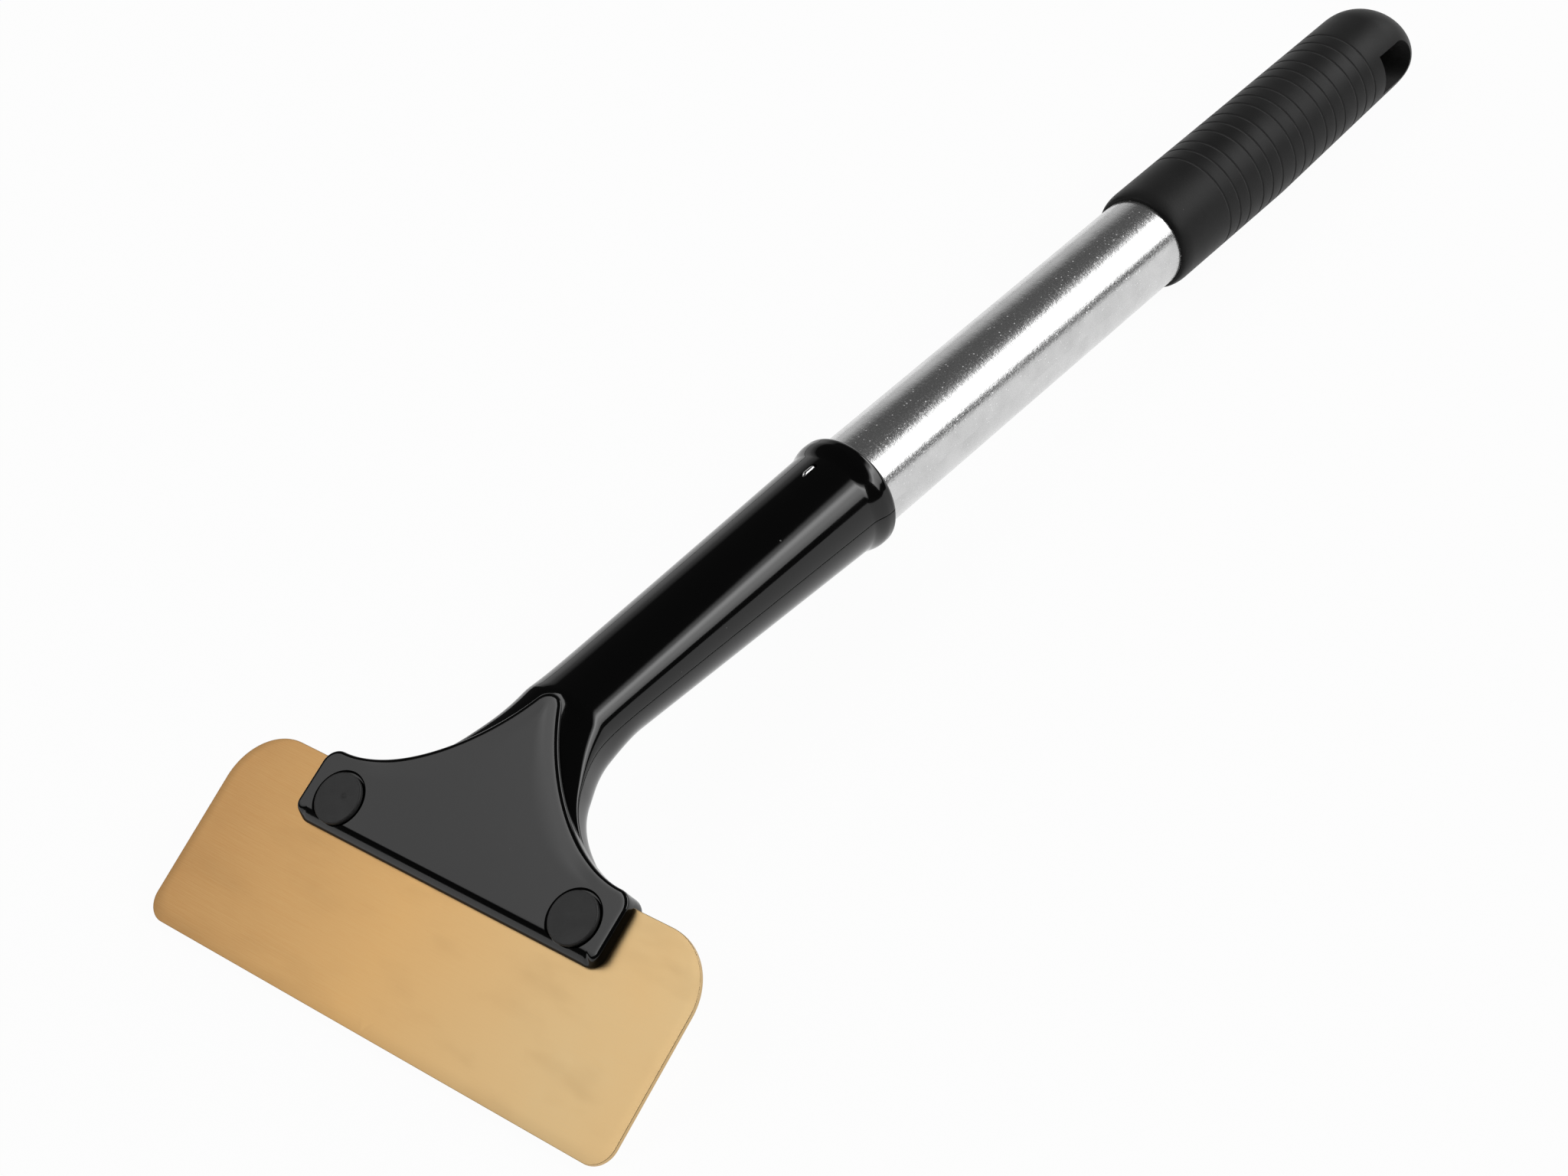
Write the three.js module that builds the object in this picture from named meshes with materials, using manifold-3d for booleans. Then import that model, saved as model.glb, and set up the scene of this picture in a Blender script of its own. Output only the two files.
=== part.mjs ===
// Ice scraper: a brass blade clamped in a black two-part head on a steel tube with a rubber grip.
// Millimetres, +Z up. The tool is drawn in the blade's frame: x across the blade, y up from its cutting
// edge, z out of its front. It is then leaned until the cutting edge and the grip stand on the ground.
import * as THREE from 'three';
import { mergeVertices } from 'three/addons/utils/BufferGeometryUtils.js';
import Module from 'manifold-3d';

const wasm = await Module();
wasm.setup();

// Gap between pieces that fit each other
const CLEARANCE = 0.3;

// Brass blade
const BLADE_WIDTH = 129;
const BLADE_HEIGHT = 45;
const BLADE_THICKNESS = 1;
const BLADE_TOP_RADIUS = 13;
const BLADE_EDGE_RADIUS = 5;

// Jaws that hold the blade's top edge
const JAW_WIDTH = 84;
const JAW_OVERLAP = 13.8;
const JAW_TOP_MARGIN = 2;
const JAW_LOWER_RADIUS = 0.8;
const JAW_UPPER_RADIUS = 1;
const REAR_JAW_INSET = 1.4;
const REAR_JAW_DEPTH = 6.3;
const REAR_JAW_ROUNDING = 2.6;
const REAR_JAW_RADIUS = 3;

// Raised triangular plate on the front
const PLATE_HEIGHT = 3.4;
const PLATE_TILT = THREE.MathUtils.degToRad(2);
const PLATE_TIP_ABOVE_BLADE = 30.5;
const PLATE_TIP_RADIUS = 1;
const PLATE_FLANK_ANGLE = THREE.MathUtils.degToRad(27);
const PLATE_SHOULDER = 14;
const PLATE_FLANK = 16.5;
const PLATE_BEVEL_RUN = 2.6;
const PLATE_BEVEL_DROP = 2.4;
const PLATE_STEP = 1.5;

// Neck and collar, along the neck's own axis from where it crosses the blade's plane
const NECK_ANGLE = THREE.MathUtils.degToRad(29.44);
const NECK_ABOVE_BLADE = 16.65;
const NECK_LENGTH = 101.1;
const NECK_BASE_HALF_WIDTH = 10.4;
const NECK_BASE_FRONT = 7.6;
const NECK_BASE_REAR = 9.7;
const NECK_TOP_RADIUS = 12.25;
const COLLAR_LENGTH = 7;
const COLLAR_RISE = 4.5;
const COLLAR_RADIUS = 13.2;
const COLLAR_RIM_RADIUS = 1.5;
const BEND_TANGENT = 12;

// Flare from the jaws into the neck
const FLARE_SPREAD = 5;
const FLARE_LENGTH = 10;
const FLARE_FADE = 14;
const FLARE_START = -16;
const FLARE_END = 24;
const FLARE_REAR_START = -20;
const FLARE_REAR_END = 4;
const FLARE_REAR_DEPTH = 5.4;
const FLARE_SQUARENESS = 2;

// Hollow of the head between the jaws and the tube's end
const HEAD_WALL = 2.5;
const POCKET_START = 6;
const TUBE_STOP_WALL = 2.5;

// Steel tube, along its own axis from the middle of the collar's mouth
const TUBE_RADIUS = 11.1;
const TUBE_WALL = 1.2;
const TUBE_EXTRA_ANGLE = THREE.MathUtils.degToRad(-1.2);
const TUBE_TAIL_RADIUS = 8.5;
const TUBE_SHOULDER = -3;
const TUBE_SWAGE_LENGTH = 7;
const TUBE_TAIL_LENGTH = 33;
const TUBE_FREE_LENGTH = 107.4;
const TUBE_IN_GRIP = 44;

// Staple that pins the tube in the neck
const STAPLE_LENGTH = 4.3;
const STAPLE_WIRE = 1;
const STAPLE_PROUD = 0.35;
const STAPLE_LEG = 5.3;
const STAPLE_BELOW_MOUTH = 11;

// Clamp screws, their nuts and caps
const SCREW_SPACING = 65.4;
const SCREW_BELOW_TOP = 7;
const SCREW_RADIUS = 2;
const SCREW_HEAD_RADIUS = 4;
const SCREW_HEAD_HEIGHT = 1;
const SCREW_HEAD_EDGE = 0.35;
const SCREW_SEAT_DEPTH = 1.24;
const NUT_ACROSS_FLATS = 7;
const NUT_HEIGHT = 2.8;
const CAP_RADIUS = 5.5;
const CAP_THICKNESS = 0.65;
const CAP_EDGE = 0.35;
const CAP_RECESS = 0.6;
const CAP_SKIRT_WALL = 0.5;
const CAP_SKIRT_LENGTH = 0.4;

// Rubber grip
const GRIP_RADIUS = 12.5;
const GRIP_LENGTH = 107.1;
const GRIP_MOUTH_LENGTH = 3.6;
const GRIP_LIP = 0.2;
const GRIP_END_REAR = 9.3;
const GRIP_END_HALF_WIDTH = 12;
const GRIP_DOME_LENGTH = 15;
const GRIP_TIP_DROP = 2;
const GRIP_REAR_SHARPNESS = 6;
const GRIP_FRONT_SHARPNESS = 2;
const GRIP_SIDE_SHARPNESS = 2.6;
const GROOVE_GROUPS = 5;
const GROOVES_IN_GROUP = 3;
const GROOVE_START = 18.1;
const GROOVE_PITCH = 4.15;
const GROOVE_GROUP_PITCH = 13.75;
const GROOVE_WIDTH = 1.1;
const GROOVE_DEPTH = 0.35;
const HANG_HOLE_WIDTH = 10.4;
const HANG_HOLE_LENGTH = 13;
const HANG_HOLE_TO_END = 7.8;
const HANG_HOLE_RISE = 1.4;

// Facets of round pieces, and rings along the swept ones
const HEAD_SIDES = 40;
const GRIP_SIDES = 32;
const TUBE_SIDES = 48;
const SMALL_SIDES = 24;
const CURVE_STEPS = 6;
const BLADE_CORNER_STEPS = 3;
const BEVEL_STEPS = 3;
const BEND_STEPS = 8;
const FLARE_RINGS = 14;
const POCKET_RINGS = 6;
const RIM_RINGS = 4;
const DOME_RINGS = 7;

// Spare length of a cut that runs out of the piece
const CUT_MARGIN = 20;

const JAW_BOTTOM = BLADE_HEIGHT - JAW_OVERLAP;
const JAW_TOP = BLADE_HEIGHT + JAW_TOP_MARGIN;
const NECK_FOOT = BLADE_HEIGHT + NECK_ABOVE_BLADE;
const TUBE_ANGLE = NECK_ANGLE + TUBE_EXTRA_ANGLE;
const SCREW_Y = BLADE_HEIGHT - SCREW_BELOW_TOP;
const HOLE_RADIUS = SCREW_RADIUS + CLEARANCE;

const { clamp, lerp, smoothstep } = THREE.MathUtils;

// Path of the joint between the head's halves: up the blade's plane, round a bend, along the neck's axis.
// It gives the place and lean of the head's section at a length measured from the middle of the bend.
const BEND_RADIUS = BEND_TANGENT / Math.tan(NECK_ANGLE / 2);
const BEND_LENGTH = BEND_RADIUS * NECK_ANGLE;
const BEND_START = NECK_FOOT - BEND_TANGENT;

function headPath(along) {
	const turned = clamp(along / BEND_LENGTH + 0.5, 0, 1) * NECK_ANGLE;
	const before = Math.min(along + BEND_LENGTH / 2, 0);
	const after = Math.max(along - BEND_LENGTH / 2, 0);
	return {
		y: BEND_START + before + BEND_RADIUS * Math.sin(turned) + after * Math.cos(turned),
		z: -BEND_RADIUS * (1 - Math.cos(turned)) - after * Math.sin(turned),
		lean: turned,
	};
}

// Length along that path of a place on the straight neck, given from the neck's foot
const alongNeck = (length) => length - BEND_TANGENT + BEND_LENGTH / 2;

// Height of the raised plate's face over the blade's plane
const plateFace = (y) => PLATE_HEIGHT - (y - JAW_BOTTOM) * Math.tan(PLATE_TILT);

// Frames of the neck and of the tube, with their axes along y and the front along z
const neckFrame = new THREE.Matrix4().makeRotationX(-NECK_ANGLE).setPosition(0, NECK_FOOT, 0);
const collarMouth = new THREE.Vector3(0, NECK_LENGTH, 0).applyMatrix4(neckFrame);
const tubeFrame = new THREE.Matrix4().makeRotationX(-TUBE_ANGLE).setPosition(collarMouth);

// Turns a shape drawn in x and y, and extruded along z, so that it is drawn in y and z and extruded along x
const sideways = new THREE.Matrix4().makeBasis(
	new THREE.Vector3(0, 1, 0),
	new THREE.Vector3(0, 0, 1),
	new THREE.Vector3(1, 0, 0),
);

// A closed mesh as a solid that can be cut and joined
function solid(geometry) {
	const bare = geometry.clone();
	bare.deleteAttribute('normal');
	bare.deleteAttribute('uv');
	const merged = mergeVertices(bare, 1e-4);
	const corners = merged.index.array;
	const triangles = [];
	for (let i = 0; i < corners.length; i += 3) {
		const [a, b, c] = corners.slice(i, i + 3);
		if (a !== b && b !== c && c !== a) triangles.push(a, b, c);
	}
	return new wasm.Manifold(new wasm.Mesh({
		numProp: 3,
		vertProperties: merged.attributes.position.array,
		triVerts: Uint32Array.from(triangles),
	}));
}

function cut(body, ...tools) {
	return tools.reduce((left, tool) => left.subtract(tool), body);
}

function geometryOf(body) {
	const mesh = body.getMesh();
	const geometry = new THREE.BufferGeometry();
	geometry.setAttribute('position', new THREE.BufferAttribute(mesh.vertProperties, 3));
	geometry.setIndex(new THREE.BufferAttribute(mesh.triVerts, 1));
	geometry.computeVertexNormals();
	return geometry;
}

// A skin through rings of points that run from x to z along y, closed by a flat fan at each end
function skin(rings) {
	const sides = rings[0].length;
	const points = rings.flat();
	const index = [];
	for (let ring = 0; ring + 1 < rings.length; ring++) {
		for (let side = 0; side < sides; side++) {
			const here = ring * sides + side;
			const next = ring * sides + (side + 1) % sides;
			index.push(here, here + sides, next, next, here + sides, next + sides);
		}
	}
	const ends = [[rings[0], 0, 1], [rings.at(-1), (rings.length - 1) * sides, -1]];
	for (const [ring, first, turn] of ends) {
		const middle = new THREE.Vector3();
		ring.forEach((point) => middle.addScaledVector(point, 1 / sides));
		for (let side = 0; side < sides; side++) {
			const edge = [first + side, first + (side + 1) % sides];
			if (turn < 0) edge.reverse();
			index.push(...edge, points.length);
		}
		points.push(middle);
	}
	const geometry = new THREE.BufferGeometry().setFromPoints(points);
	geometry.setIndex(index);
	geometry.computeVertexNormals();
	return geometry;
}

// A round solid about the y axis from radius and height pairs
function turned(profile, sides) {
	return new THREE.LatheGeometry(profile.map(([radius, height]) => new THREE.Vector2(radius, height)), sides);
}

// A round solid about the z axis at a screw's place
function turnedOnScrew(profile, x) {
	return turned(profile, SMALL_SIDES).rotateX(Math.PI / 2).translate(x, SCREW_Y, 0);
}

function box(width, length, height, x, y, z) {
	return new THREE.BoxGeometry(width, length, height).translate(x, y, z);
}

// Heights of the screw stack over the blade's plane
const screwSeat = plateFace(SCREW_Y) - SCREW_SEAT_DEPTH;
const headBottom = screwSeat + CLEARANCE;
const headTop = headBottom + SCREW_HEAD_HEIGHT;
const capInside = headTop + CLEARANCE;
const capTop = capInside + CAP_THICKNESS;
const capFloor = plateFace(SCREW_Y) - CAP_RECESS;
const capBottom = capFloor + CLEARANCE;
const nutBack = -REAR_JAW_DEPTH;
const nutFront = nutBack + NUT_HEIGHT;
const skirtInside = SCREW_HEAD_RADIUS + CLEARANCE;
const skirtOutside = skirtInside + CAP_SKIRT_WALL;
const nutCornerRadius = NUT_ACROSS_FLATS / 2 / Math.cos(Math.PI / 6);

function bladeGeometry() {
	const half = BLADE_WIDTH / 2;
	const top = BLADE_HEIGHT;
	const shape = new THREE.Shape();
	shape.moveTo(-half + BLADE_EDGE_RADIUS, 0);
	shape.lineTo(half - BLADE_EDGE_RADIUS, 0);
	shape.absarc(half - BLADE_EDGE_RADIUS, BLADE_EDGE_RADIUS, BLADE_EDGE_RADIUS, -Math.PI / 2, 0);
	shape.absarc(half - BLADE_TOP_RADIUS, top - BLADE_TOP_RADIUS, BLADE_TOP_RADIUS, 0, Math.PI / 2);
	shape.absarc(-half + BLADE_TOP_RADIUS, top - BLADE_TOP_RADIUS, BLADE_TOP_RADIUS, Math.PI / 2, Math.PI);
	shape.absarc(-half + BLADE_EDGE_RADIUS, BLADE_EDGE_RADIUS, BLADE_EDGE_RADIUS, Math.PI, Math.PI * 1.5);
	const blank = new THREE.Shape(shape.getPoints(BLADE_CORNER_STEPS));
	for (const side of [-1, 1]) {
		const hole = new THREE.Path().absarc(side * SCREW_SPACING / 2, SCREW_Y, HOLE_RADIUS, 0, 2 * Math.PI);
		blank.holes.push(hole);
	}
	const settings = { depth: BLADE_THICKNESS, bevelEnabled: false, curveSegments: CURVE_STEPS };
	return new THREE.ExtrudeGeometry(blank, settings).translate(0, 0, -BLADE_THICKNESS / 2);
}

// Outline of the plate's flat face, inside its bevel: a wide foot whose top sweeps in to a rounded tip
function plateOutline() {
	const half = JAW_WIDTH / 2 - PLATE_BEVEL_RUN;
	const bottom = JAW_BOTTOM + PLATE_BEVEL_RUN;
	const top = JAW_TOP - PLATE_BEVEL_RUN;
	const low = JAW_LOWER_RADIUS;
	const high = JAW_UPPER_RADIUS;
	const tipY = BLADE_HEIGHT + PLATE_TIP_ABOVE_BLADE - PLATE_BEVEL_RUN - PLATE_TIP_RADIUS;
	const [sin, cos] = [Math.sin(PLATE_FLANK_ANGLE), Math.cos(PLATE_FLANK_ANGLE)];
	const tangentX = PLATE_TIP_RADIUS * cos;
	const tangentY = tipY + PLATE_TIP_RADIUS * sin;
	const flankX = tangentX + PLATE_FLANK * sin;
	const flankY = tangentY - PLATE_FLANK * cos;
	const shoulder = half - high - PLATE_SHOULDER;
	const shape = new THREE.Shape();
	shape.moveTo(-half + low, bottom);
	shape.absarc(half - low, bottom + low, low, -Math.PI / 2, 0);
	shape.absarc(half - high, top - high, high, 0, Math.PI / 2);
	shape.bezierCurveTo(shoulder, top, flankX, flankY, tangentX, tangentY);
	shape.absarc(0, tipY, PLATE_TIP_RADIUS, PLATE_FLANK_ANGLE, Math.PI - PLATE_FLANK_ANGLE);
	shape.bezierCurveTo(-flankX, flankY, -shoulder, top, -half + high, top);
	shape.absarc(-half + high, top - high, high, Math.PI / 2, Math.PI);
	shape.absarc(-half + low, bottom + low, low, Math.PI, Math.PI * 1.5);
	return shape;
}

function plateGeometry() {
	const geometry = new THREE.ExtrudeGeometry(plateOutline(), {
		depth: CUT_MARGIN,
		bevelThickness: PLATE_BEVEL_DROP,
		bevelSize: PLATE_BEVEL_RUN,
		bevelSegments: BEVEL_STEPS,
		curveSegments: CURVE_STEPS,
	});
	geometry.translate(0, -JAW_BOTTOM, -CUT_MARGIN - PLATE_BEVEL_DROP);
	return geometry.rotateX(-PLATE_TILT).translate(0, JAW_BOTTOM, PLATE_HEIGHT);
}

function rearJawGeometry() {
	const half = JAW_WIDTH / 2 - REAR_JAW_INSET;
	const radius = REAR_JAW_RADIUS;
	const shape = new THREE.Shape();
	shape.moveTo(-half + radius, JAW_BOTTOM);
	shape.absarc(half - radius, JAW_BOTTOM + radius, radius, -Math.PI / 2, 0);
	shape.absarc(half - radius, JAW_TOP - radius, radius, 0, Math.PI / 2);
	shape.absarc(-half + radius, JAW_TOP - radius, radius, Math.PI / 2, Math.PI);
	shape.absarc(-half + radius, JAW_BOTTOM + radius, radius, Math.PI, Math.PI * 1.5);
	return new THREE.ExtrudeGeometry(shape, {
		depth: CUT_MARGIN,
		bevelThickness: REAR_JAW_ROUNDING,
		bevelSize: REAR_JAW_ROUNDING,
		bevelOffset: -REAR_JAW_ROUNDING,
		bevelSegments: BEVEL_STEPS,
		curveSegments: CURVE_STEPS,
	}).translate(0, 0, REAR_JAW_ROUNDING - REAR_JAW_DEPTH);
}

// Half width or depth of the neck and its collar at a length from the neck's foot, from its size at the foot
function neckSize(base, length) {
	const collarStart = NECK_LENGTH - COLLAR_LENGTH;
	const taper = lerp(base, NECK_TOP_RADIUS, Math.min(length / collarStart, 1));
	const rise = (COLLAR_RADIUS - NECK_TOP_RADIUS) * smoothstep(length, collarStart, collarStart + COLLAR_RISE);
	const intoRim = Math.max(length - (NECK_LENGTH - COLLAR_RIM_RADIUS), 0);
	const rim = COLLAR_RIM_RADIUS - Math.sqrt(Math.max(COLLAR_RIM_RADIUS ** 2 - intoRim ** 2, 0));
	return taper + rise - rim;
}

// Half width, front depth and rear depth of the head's section, and how square its rear is
function headSection(along) {
	const { y, z, lean } = headPath(along);
	const length = along - alongNeck(0);
	const underPlate = (plateFace(y) - PLATE_STEP - z) / Math.cos(lean);
	const intoNeck = smoothstep(along, FLARE_REAR_START, FLARE_REAR_END);
	const fade = along / FLARE_LENGTH + Math.max(along / FLARE_FADE, 0) ** 2;
	return {
		halfWidth: neckSize(NECK_BASE_HALF_WIDTH, length) + FLARE_SPREAD * Math.exp(-fade),
		front: Math.min(neckSize(NECK_BASE_FRONT, length), underPlate),
		rear: lerp(FLARE_REAR_DEPTH, neckSize(NECK_BASE_REAR, length), intoNeck),
		rearPower: 2 / (2 + FLARE_SQUARENESS * (1 - smoothstep(along, 0, FLARE_END))),
	};
}

// One ring of the head: a rounded section, drawn in by a wall where it bounds the hollow
function headRing(along, wall) {
	const { y, z, lean } = headPath(along);
	const section = headSection(along);
	const ring = [];
	for (let side = 0; side < HEAD_SIDES; side++) {
		const angle = 2 * Math.PI * side / HEAD_SIDES;
		const [cos, sin] = [Math.cos(angle), Math.sin(angle)];
		const depth = (sin > 0 ? section.front : section.rear) - wall;
		const power = sin > 0 ? 1 : section.rearPower;
		const x = (section.halfWidth - wall) * Math.sign(cos) * Math.abs(cos) ** power;
		const out = depth * Math.sign(sin) * Math.abs(sin) ** power;
		ring.push(new THREE.Vector3(x, y + out * Math.sin(lean), z + out * Math.cos(lean)));
	}
	return ring;
}

function steps(from, to, count) {
	return Array.from({ length: count + 1 }, (_, i) => lerp(from, to, i / count));
}

function headLoft() {
	const collarStart = alongNeck(NECK_LENGTH - COLLAR_LENGTH);
	const riseEnd = collarStart + COLLAR_RISE;
	const rimStart = alongNeck(NECK_LENGTH - COLLAR_RIM_RADIUS);
	const places = [
		...steps(FLARE_START, FLARE_END, FLARE_RINGS),
		...steps(collarStart, riseEnd, RIM_RINGS),
		...steps(rimStart, alongNeck(NECK_LENGTH), RIM_RINGS),
	];
	return skin(places.map((along) => headRing(along, 0)));
}

function pocketLoft() {
	const end = alongNeck(NECK_LENGTH + tubeTail - TUBE_STOP_WALL);
	const places = [...steps(POCKET_START, FLARE_END, POCKET_RINGS), end];
	return skin(places.map((along) => headRing(along, HEAD_WALL)));
}

// Everything in front of the head's joint, or behind it, as a slab with the joint's bent face
function sideOfJoint(front) {
	const reach = NECK_LENGTH + CUT_MARGIN;
	const sign = front ? 1 : -1;
	const places = [
		-BLADE_HEIGHT - CUT_MARGIN,
		...steps(-BEND_LENGTH / 2, BEND_LENGTH / 2, BEND_STEPS),
		reach,
	];
	const face = places.map((along) => {
		const { y, z, lean } = headPath(along);
		const off = sign * CLEARANCE / 2;
		return new THREE.Vector2(y + off * Math.sin(lean), z + off * Math.cos(lean));
	});
	const edge = sign * reach;
	face.push(new THREE.Vector2(face.at(-1).x, edge), new THREE.Vector2(face[0].x, edge));
	const width = JAW_WIDTH + CUT_MARGIN;
	const settings = { depth: width, bevelEnabled: false };
	const slab = new THREE.ExtrudeGeometry(new THREE.Shape(face), settings).translate(0, 0, -width / 2);
	return solid(slab.applyMatrix4(sideways));
}

// Slot for the blade, open below and at both ends
function bladeSlot() {
	const length = BLADE_HEIGHT + CLEARANCE + CUT_MARGIN;
	const height = BLADE_THICKNESS + 2 * CLEARANCE;
	return solid(box(JAW_WIDTH + CUT_MARGIN, length, height, 0, BLADE_HEIGHT + CLEARANCE - length / 2, 0));
}

// Ends of the tube along its axis
const tubeTail = TUBE_SHOULDER - TUBE_SWAGE_LENGTH - TUBE_TAIL_LENGTH;
const tubeTop = TUBE_FREE_LENGTH + TUBE_IN_GRIP;

// Seat of the tube: its outer shape with clearance, running out of the collar
function tubeSeat() {
	const tail = TUBE_TAIL_RADIUS + CLEARANCE;
	const full = TUBE_RADIUS + CLEARANCE;
	const profile = [
		[0, tubeTail - CLEARANCE],
		[tail, tubeTail - CLEARANCE],
		[tail, TUBE_SHOULDER - TUBE_SWAGE_LENGTH],
		[full, TUBE_SHOULDER],
		[full, CUT_MARGIN],
		[0, CUT_MARGIN],
	];
	return solid(turned(profile, TUBE_SIDES).applyMatrix4(tubeFrame));
}

// The staple's slot through the neck's front and the tube's wall, in the tube's frame
function stapleSlot() {
	const width = STAPLE_WIRE + 2 * CLEARANCE;
	const length = STAPLE_LENGTH + 2 * CLEARANCE;
	const height = TUBE_RADIUS + CUT_MARGIN;
	return box(width, length, height, 0, -STAPLE_BELOW_MOUTH, height / 2);
}

function screwHoles() {
	return [-1, 1].flatMap((side) => {
		const x = side * SCREW_SPACING / 2;
		const bore = [[0, -CUT_MARGIN], [HOLE_RADIUS, -CUT_MARGIN], [HOLE_RADIUS, CUT_MARGIN], [0, CUT_MARGIN]];
		const skirtRoom = skirtOutside + CLEARANCE;
		const counterbore = [[0, screwSeat], [skirtRoom, screwSeat], [skirtRoom, CUT_MARGIN], [0, CUT_MARGIN]];
		const capRoom = CAP_RADIUS + CLEARANCE;
		const recess = [[0, capFloor], [capRoom, capFloor], [capRoom, CUT_MARGIN], [0, CUT_MARGIN]];
		return [bore, counterbore, recess].map((profile) => solid(turnedOnScrew(profile, x)));
	});
}

function hexagon(radius) {
	const corners = [0, 1, 2, 3, 4, 5].map((corner) => corner * Math.PI / 3);
	return new THREE.Shape(corners.map((a) => new THREE.Vector2(radius * Math.cos(a), radius * Math.sin(a))));
}

function nutGeometry(x) {
	const shape = hexagon(nutCornerRadius);
	shape.holes.push(new THREE.Path().absarc(0, 0, HOLE_RADIUS, 0, 2 * Math.PI));
	const settings = { depth: NUT_HEIGHT, bevelEnabled: false, curveSegments: CURVE_STEPS };
	return new THREE.ExtrudeGeometry(shape, settings).translate(x, SCREW_Y, nutBack);
}

function nutPocket(x) {
	const depth = NUT_HEIGHT + CLEARANCE + CUT_MARGIN;
	const settings = { depth, bevelEnabled: false };
	const shape = hexagon(nutCornerRadius + CLEARANCE / Math.cos(Math.PI / 6));
	return solid(new THREE.ExtrudeGeometry(shape, settings).translate(x, SCREW_Y, nutFront + CLEARANCE - depth));
}

function headFrontGeometry() {
	const body = solid(plateGeometry()).add(solid(headLoft())).intersect(sideOfJoint(true));
	const staple = solid(stapleSlot().applyMatrix4(tubeFrame));
	return geometryOf(cut(body, solid(pocketLoft()), tubeSeat(), bladeSlot(), staple, ...screwHoles()));
}

function headRearGeometry() {
	const body = solid(rearJawGeometry()).add(solid(headLoft())).intersect(sideOfJoint(false));
	const nuts = [-1, 1].map((side) => nutPocket(side * SCREW_SPACING / 2));
	return geometryOf(cut(body, solid(pocketLoft()), tubeSeat(), bladeSlot(), ...nuts, ...screwHoles()));
}

function screwGeometry(x) {
	return turnedOnScrew([
		[0, nutBack],
		[SCREW_RADIUS, nutBack],
		[SCREW_RADIUS, headBottom],
		[SCREW_HEAD_RADIUS, headBottom],
		[SCREW_HEAD_RADIUS, headTop - SCREW_HEAD_EDGE],
		[SCREW_HEAD_RADIUS - SCREW_HEAD_EDGE, headTop],
		[0, headTop],
	], x);
}

function capGeometry(x) {
	const skirtEnd = capBottom - CAP_SKIRT_LENGTH;
	return turnedOnScrew([
		[0, capInside],
		[skirtInside, capInside],
		[skirtInside, skirtEnd],
		[skirtOutside, skirtEnd],
		[skirtOutside, capBottom],
		[CAP_RADIUS, capBottom],
		[CAP_RADIUS, capTop - CAP_EDGE],
		[CAP_RADIUS - CAP_EDGE, capTop],
		[0, capTop],
	], x);
}

function tubeGeometry() {
	const swage = TUBE_SHOULDER - TUBE_SWAGE_LENGTH;
	const outside = [
		[TUBE_TAIL_RADIUS, tubeTail],
		[TUBE_TAIL_RADIUS, swage],
		[TUBE_RADIUS, TUBE_SHOULDER],
		[TUBE_RADIUS, tubeTop],
	];
	const inside = outside.map(([radius, height]) => [radius - TUBE_WALL, height]).reverse();
	const profile = [...outside, ...inside, outside[0]];
	return geometryOf(cut(solid(turned(profile, TUBE_SIDES)), solid(stapleSlot())));
}

// A wire bent square: a crown on the neck's front and two legs through to the tube's wall
function stapleGeometry() {
	const place = NECK_LENGTH - STAPLE_BELOW_MOUTH;
	const onNeck = new THREE.Vector3(0, place, neckSize(NECK_BASE_FRONT, place)).applyMatrix4(neckFrame);
	const outer = onNeck.applyMatrix4(tubeFrame.clone().invert()).z + STAPLE_PROUD;
	const half = STAPLE_LENGTH / 2;
	const inner = outer - STAPLE_LEG;
	const shape = new THREE.Shape([
		[-half, inner],
		[STAPLE_WIRE - half, inner],
		[STAPLE_WIRE - half, outer - STAPLE_WIRE],
		[half - STAPLE_WIRE, outer - STAPLE_WIRE],
		[half - STAPLE_WIRE, inner],
		[half, inner],
		[half, outer],
		[-half, outer],
	].map(([along, out]) => new THREE.Vector2(along, out)));
	const settings = { depth: STAPLE_WIRE, bevelEnabled: false };
	const wire = new THREE.ExtrudeGeometry(shape, settings).translate(0, 0, -STAPLE_WIRE / 2);
	return wire.applyMatrix4(sideways).translate(0, -STAPLE_BELOW_MOUTH, 0);
}

const gripMouth = TUBE_FREE_LENGTH;
const gripEnd = gripMouth + GRIP_LENGTH;
const domeStart = gripEnd - GRIP_DOME_LENGTH;

// One ring of the grip: an oval whose back falls away past the tube's end and whose front rounds over the end
function gripRing(along, inset) {
	const taper = clamp((along - tubeTop) / (gripEnd - tubeTop), 0, 1);
	const dome = clamp((along - domeStart) / GRIP_DOME_LENGTH, 0, 1);
	const round = (sharpness) => Math.sqrt(1 - dome ** sharpness);
	const rearEdge = lerp(GRIP_RADIUS, GRIP_END_REAR, taper);
	const rear = lerp(GRIP_TIP_DROP, rearEdge, round(GRIP_REAR_SHARPNESS));
	const front = lerp(-GRIP_TIP_DROP, GRIP_RADIUS, round(GRIP_FRONT_SHARPNESS));
	const halfWidth = lerp(GRIP_RADIUS, GRIP_END_HALF_WIDTH, taper) * round(GRIP_SIDE_SHARPNESS);
	const ring = [];
	for (let side = 0; side < GRIP_SIDES; side++) {
		const angle = 2 * Math.PI * side / GRIP_SIDES;
		const x = (halfWidth - inset) * Math.cos(angle);
		const z = (front - rear) / 2 + ((front + rear) / 2 - inset) * Math.sin(angle);
		ring.push(new THREE.Vector3(x, along, z));
	}
	return ring;
}

// Rings of the rounded mouth, from its thin lip to the full grip
function mouthRings() {
	const height = GRIP_RADIUS - TUBE_RADIUS - CLEARANCE - GRIP_LIP;
	return steps(0, 1, RIM_RINGS).map((part) => {
		const inset = height * (1 - Math.sqrt(1 - (1 - part) ** 2));
		return gripRing(gripMouth + part * GRIP_MOUTH_LENGTH, inset);
	});
}

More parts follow.
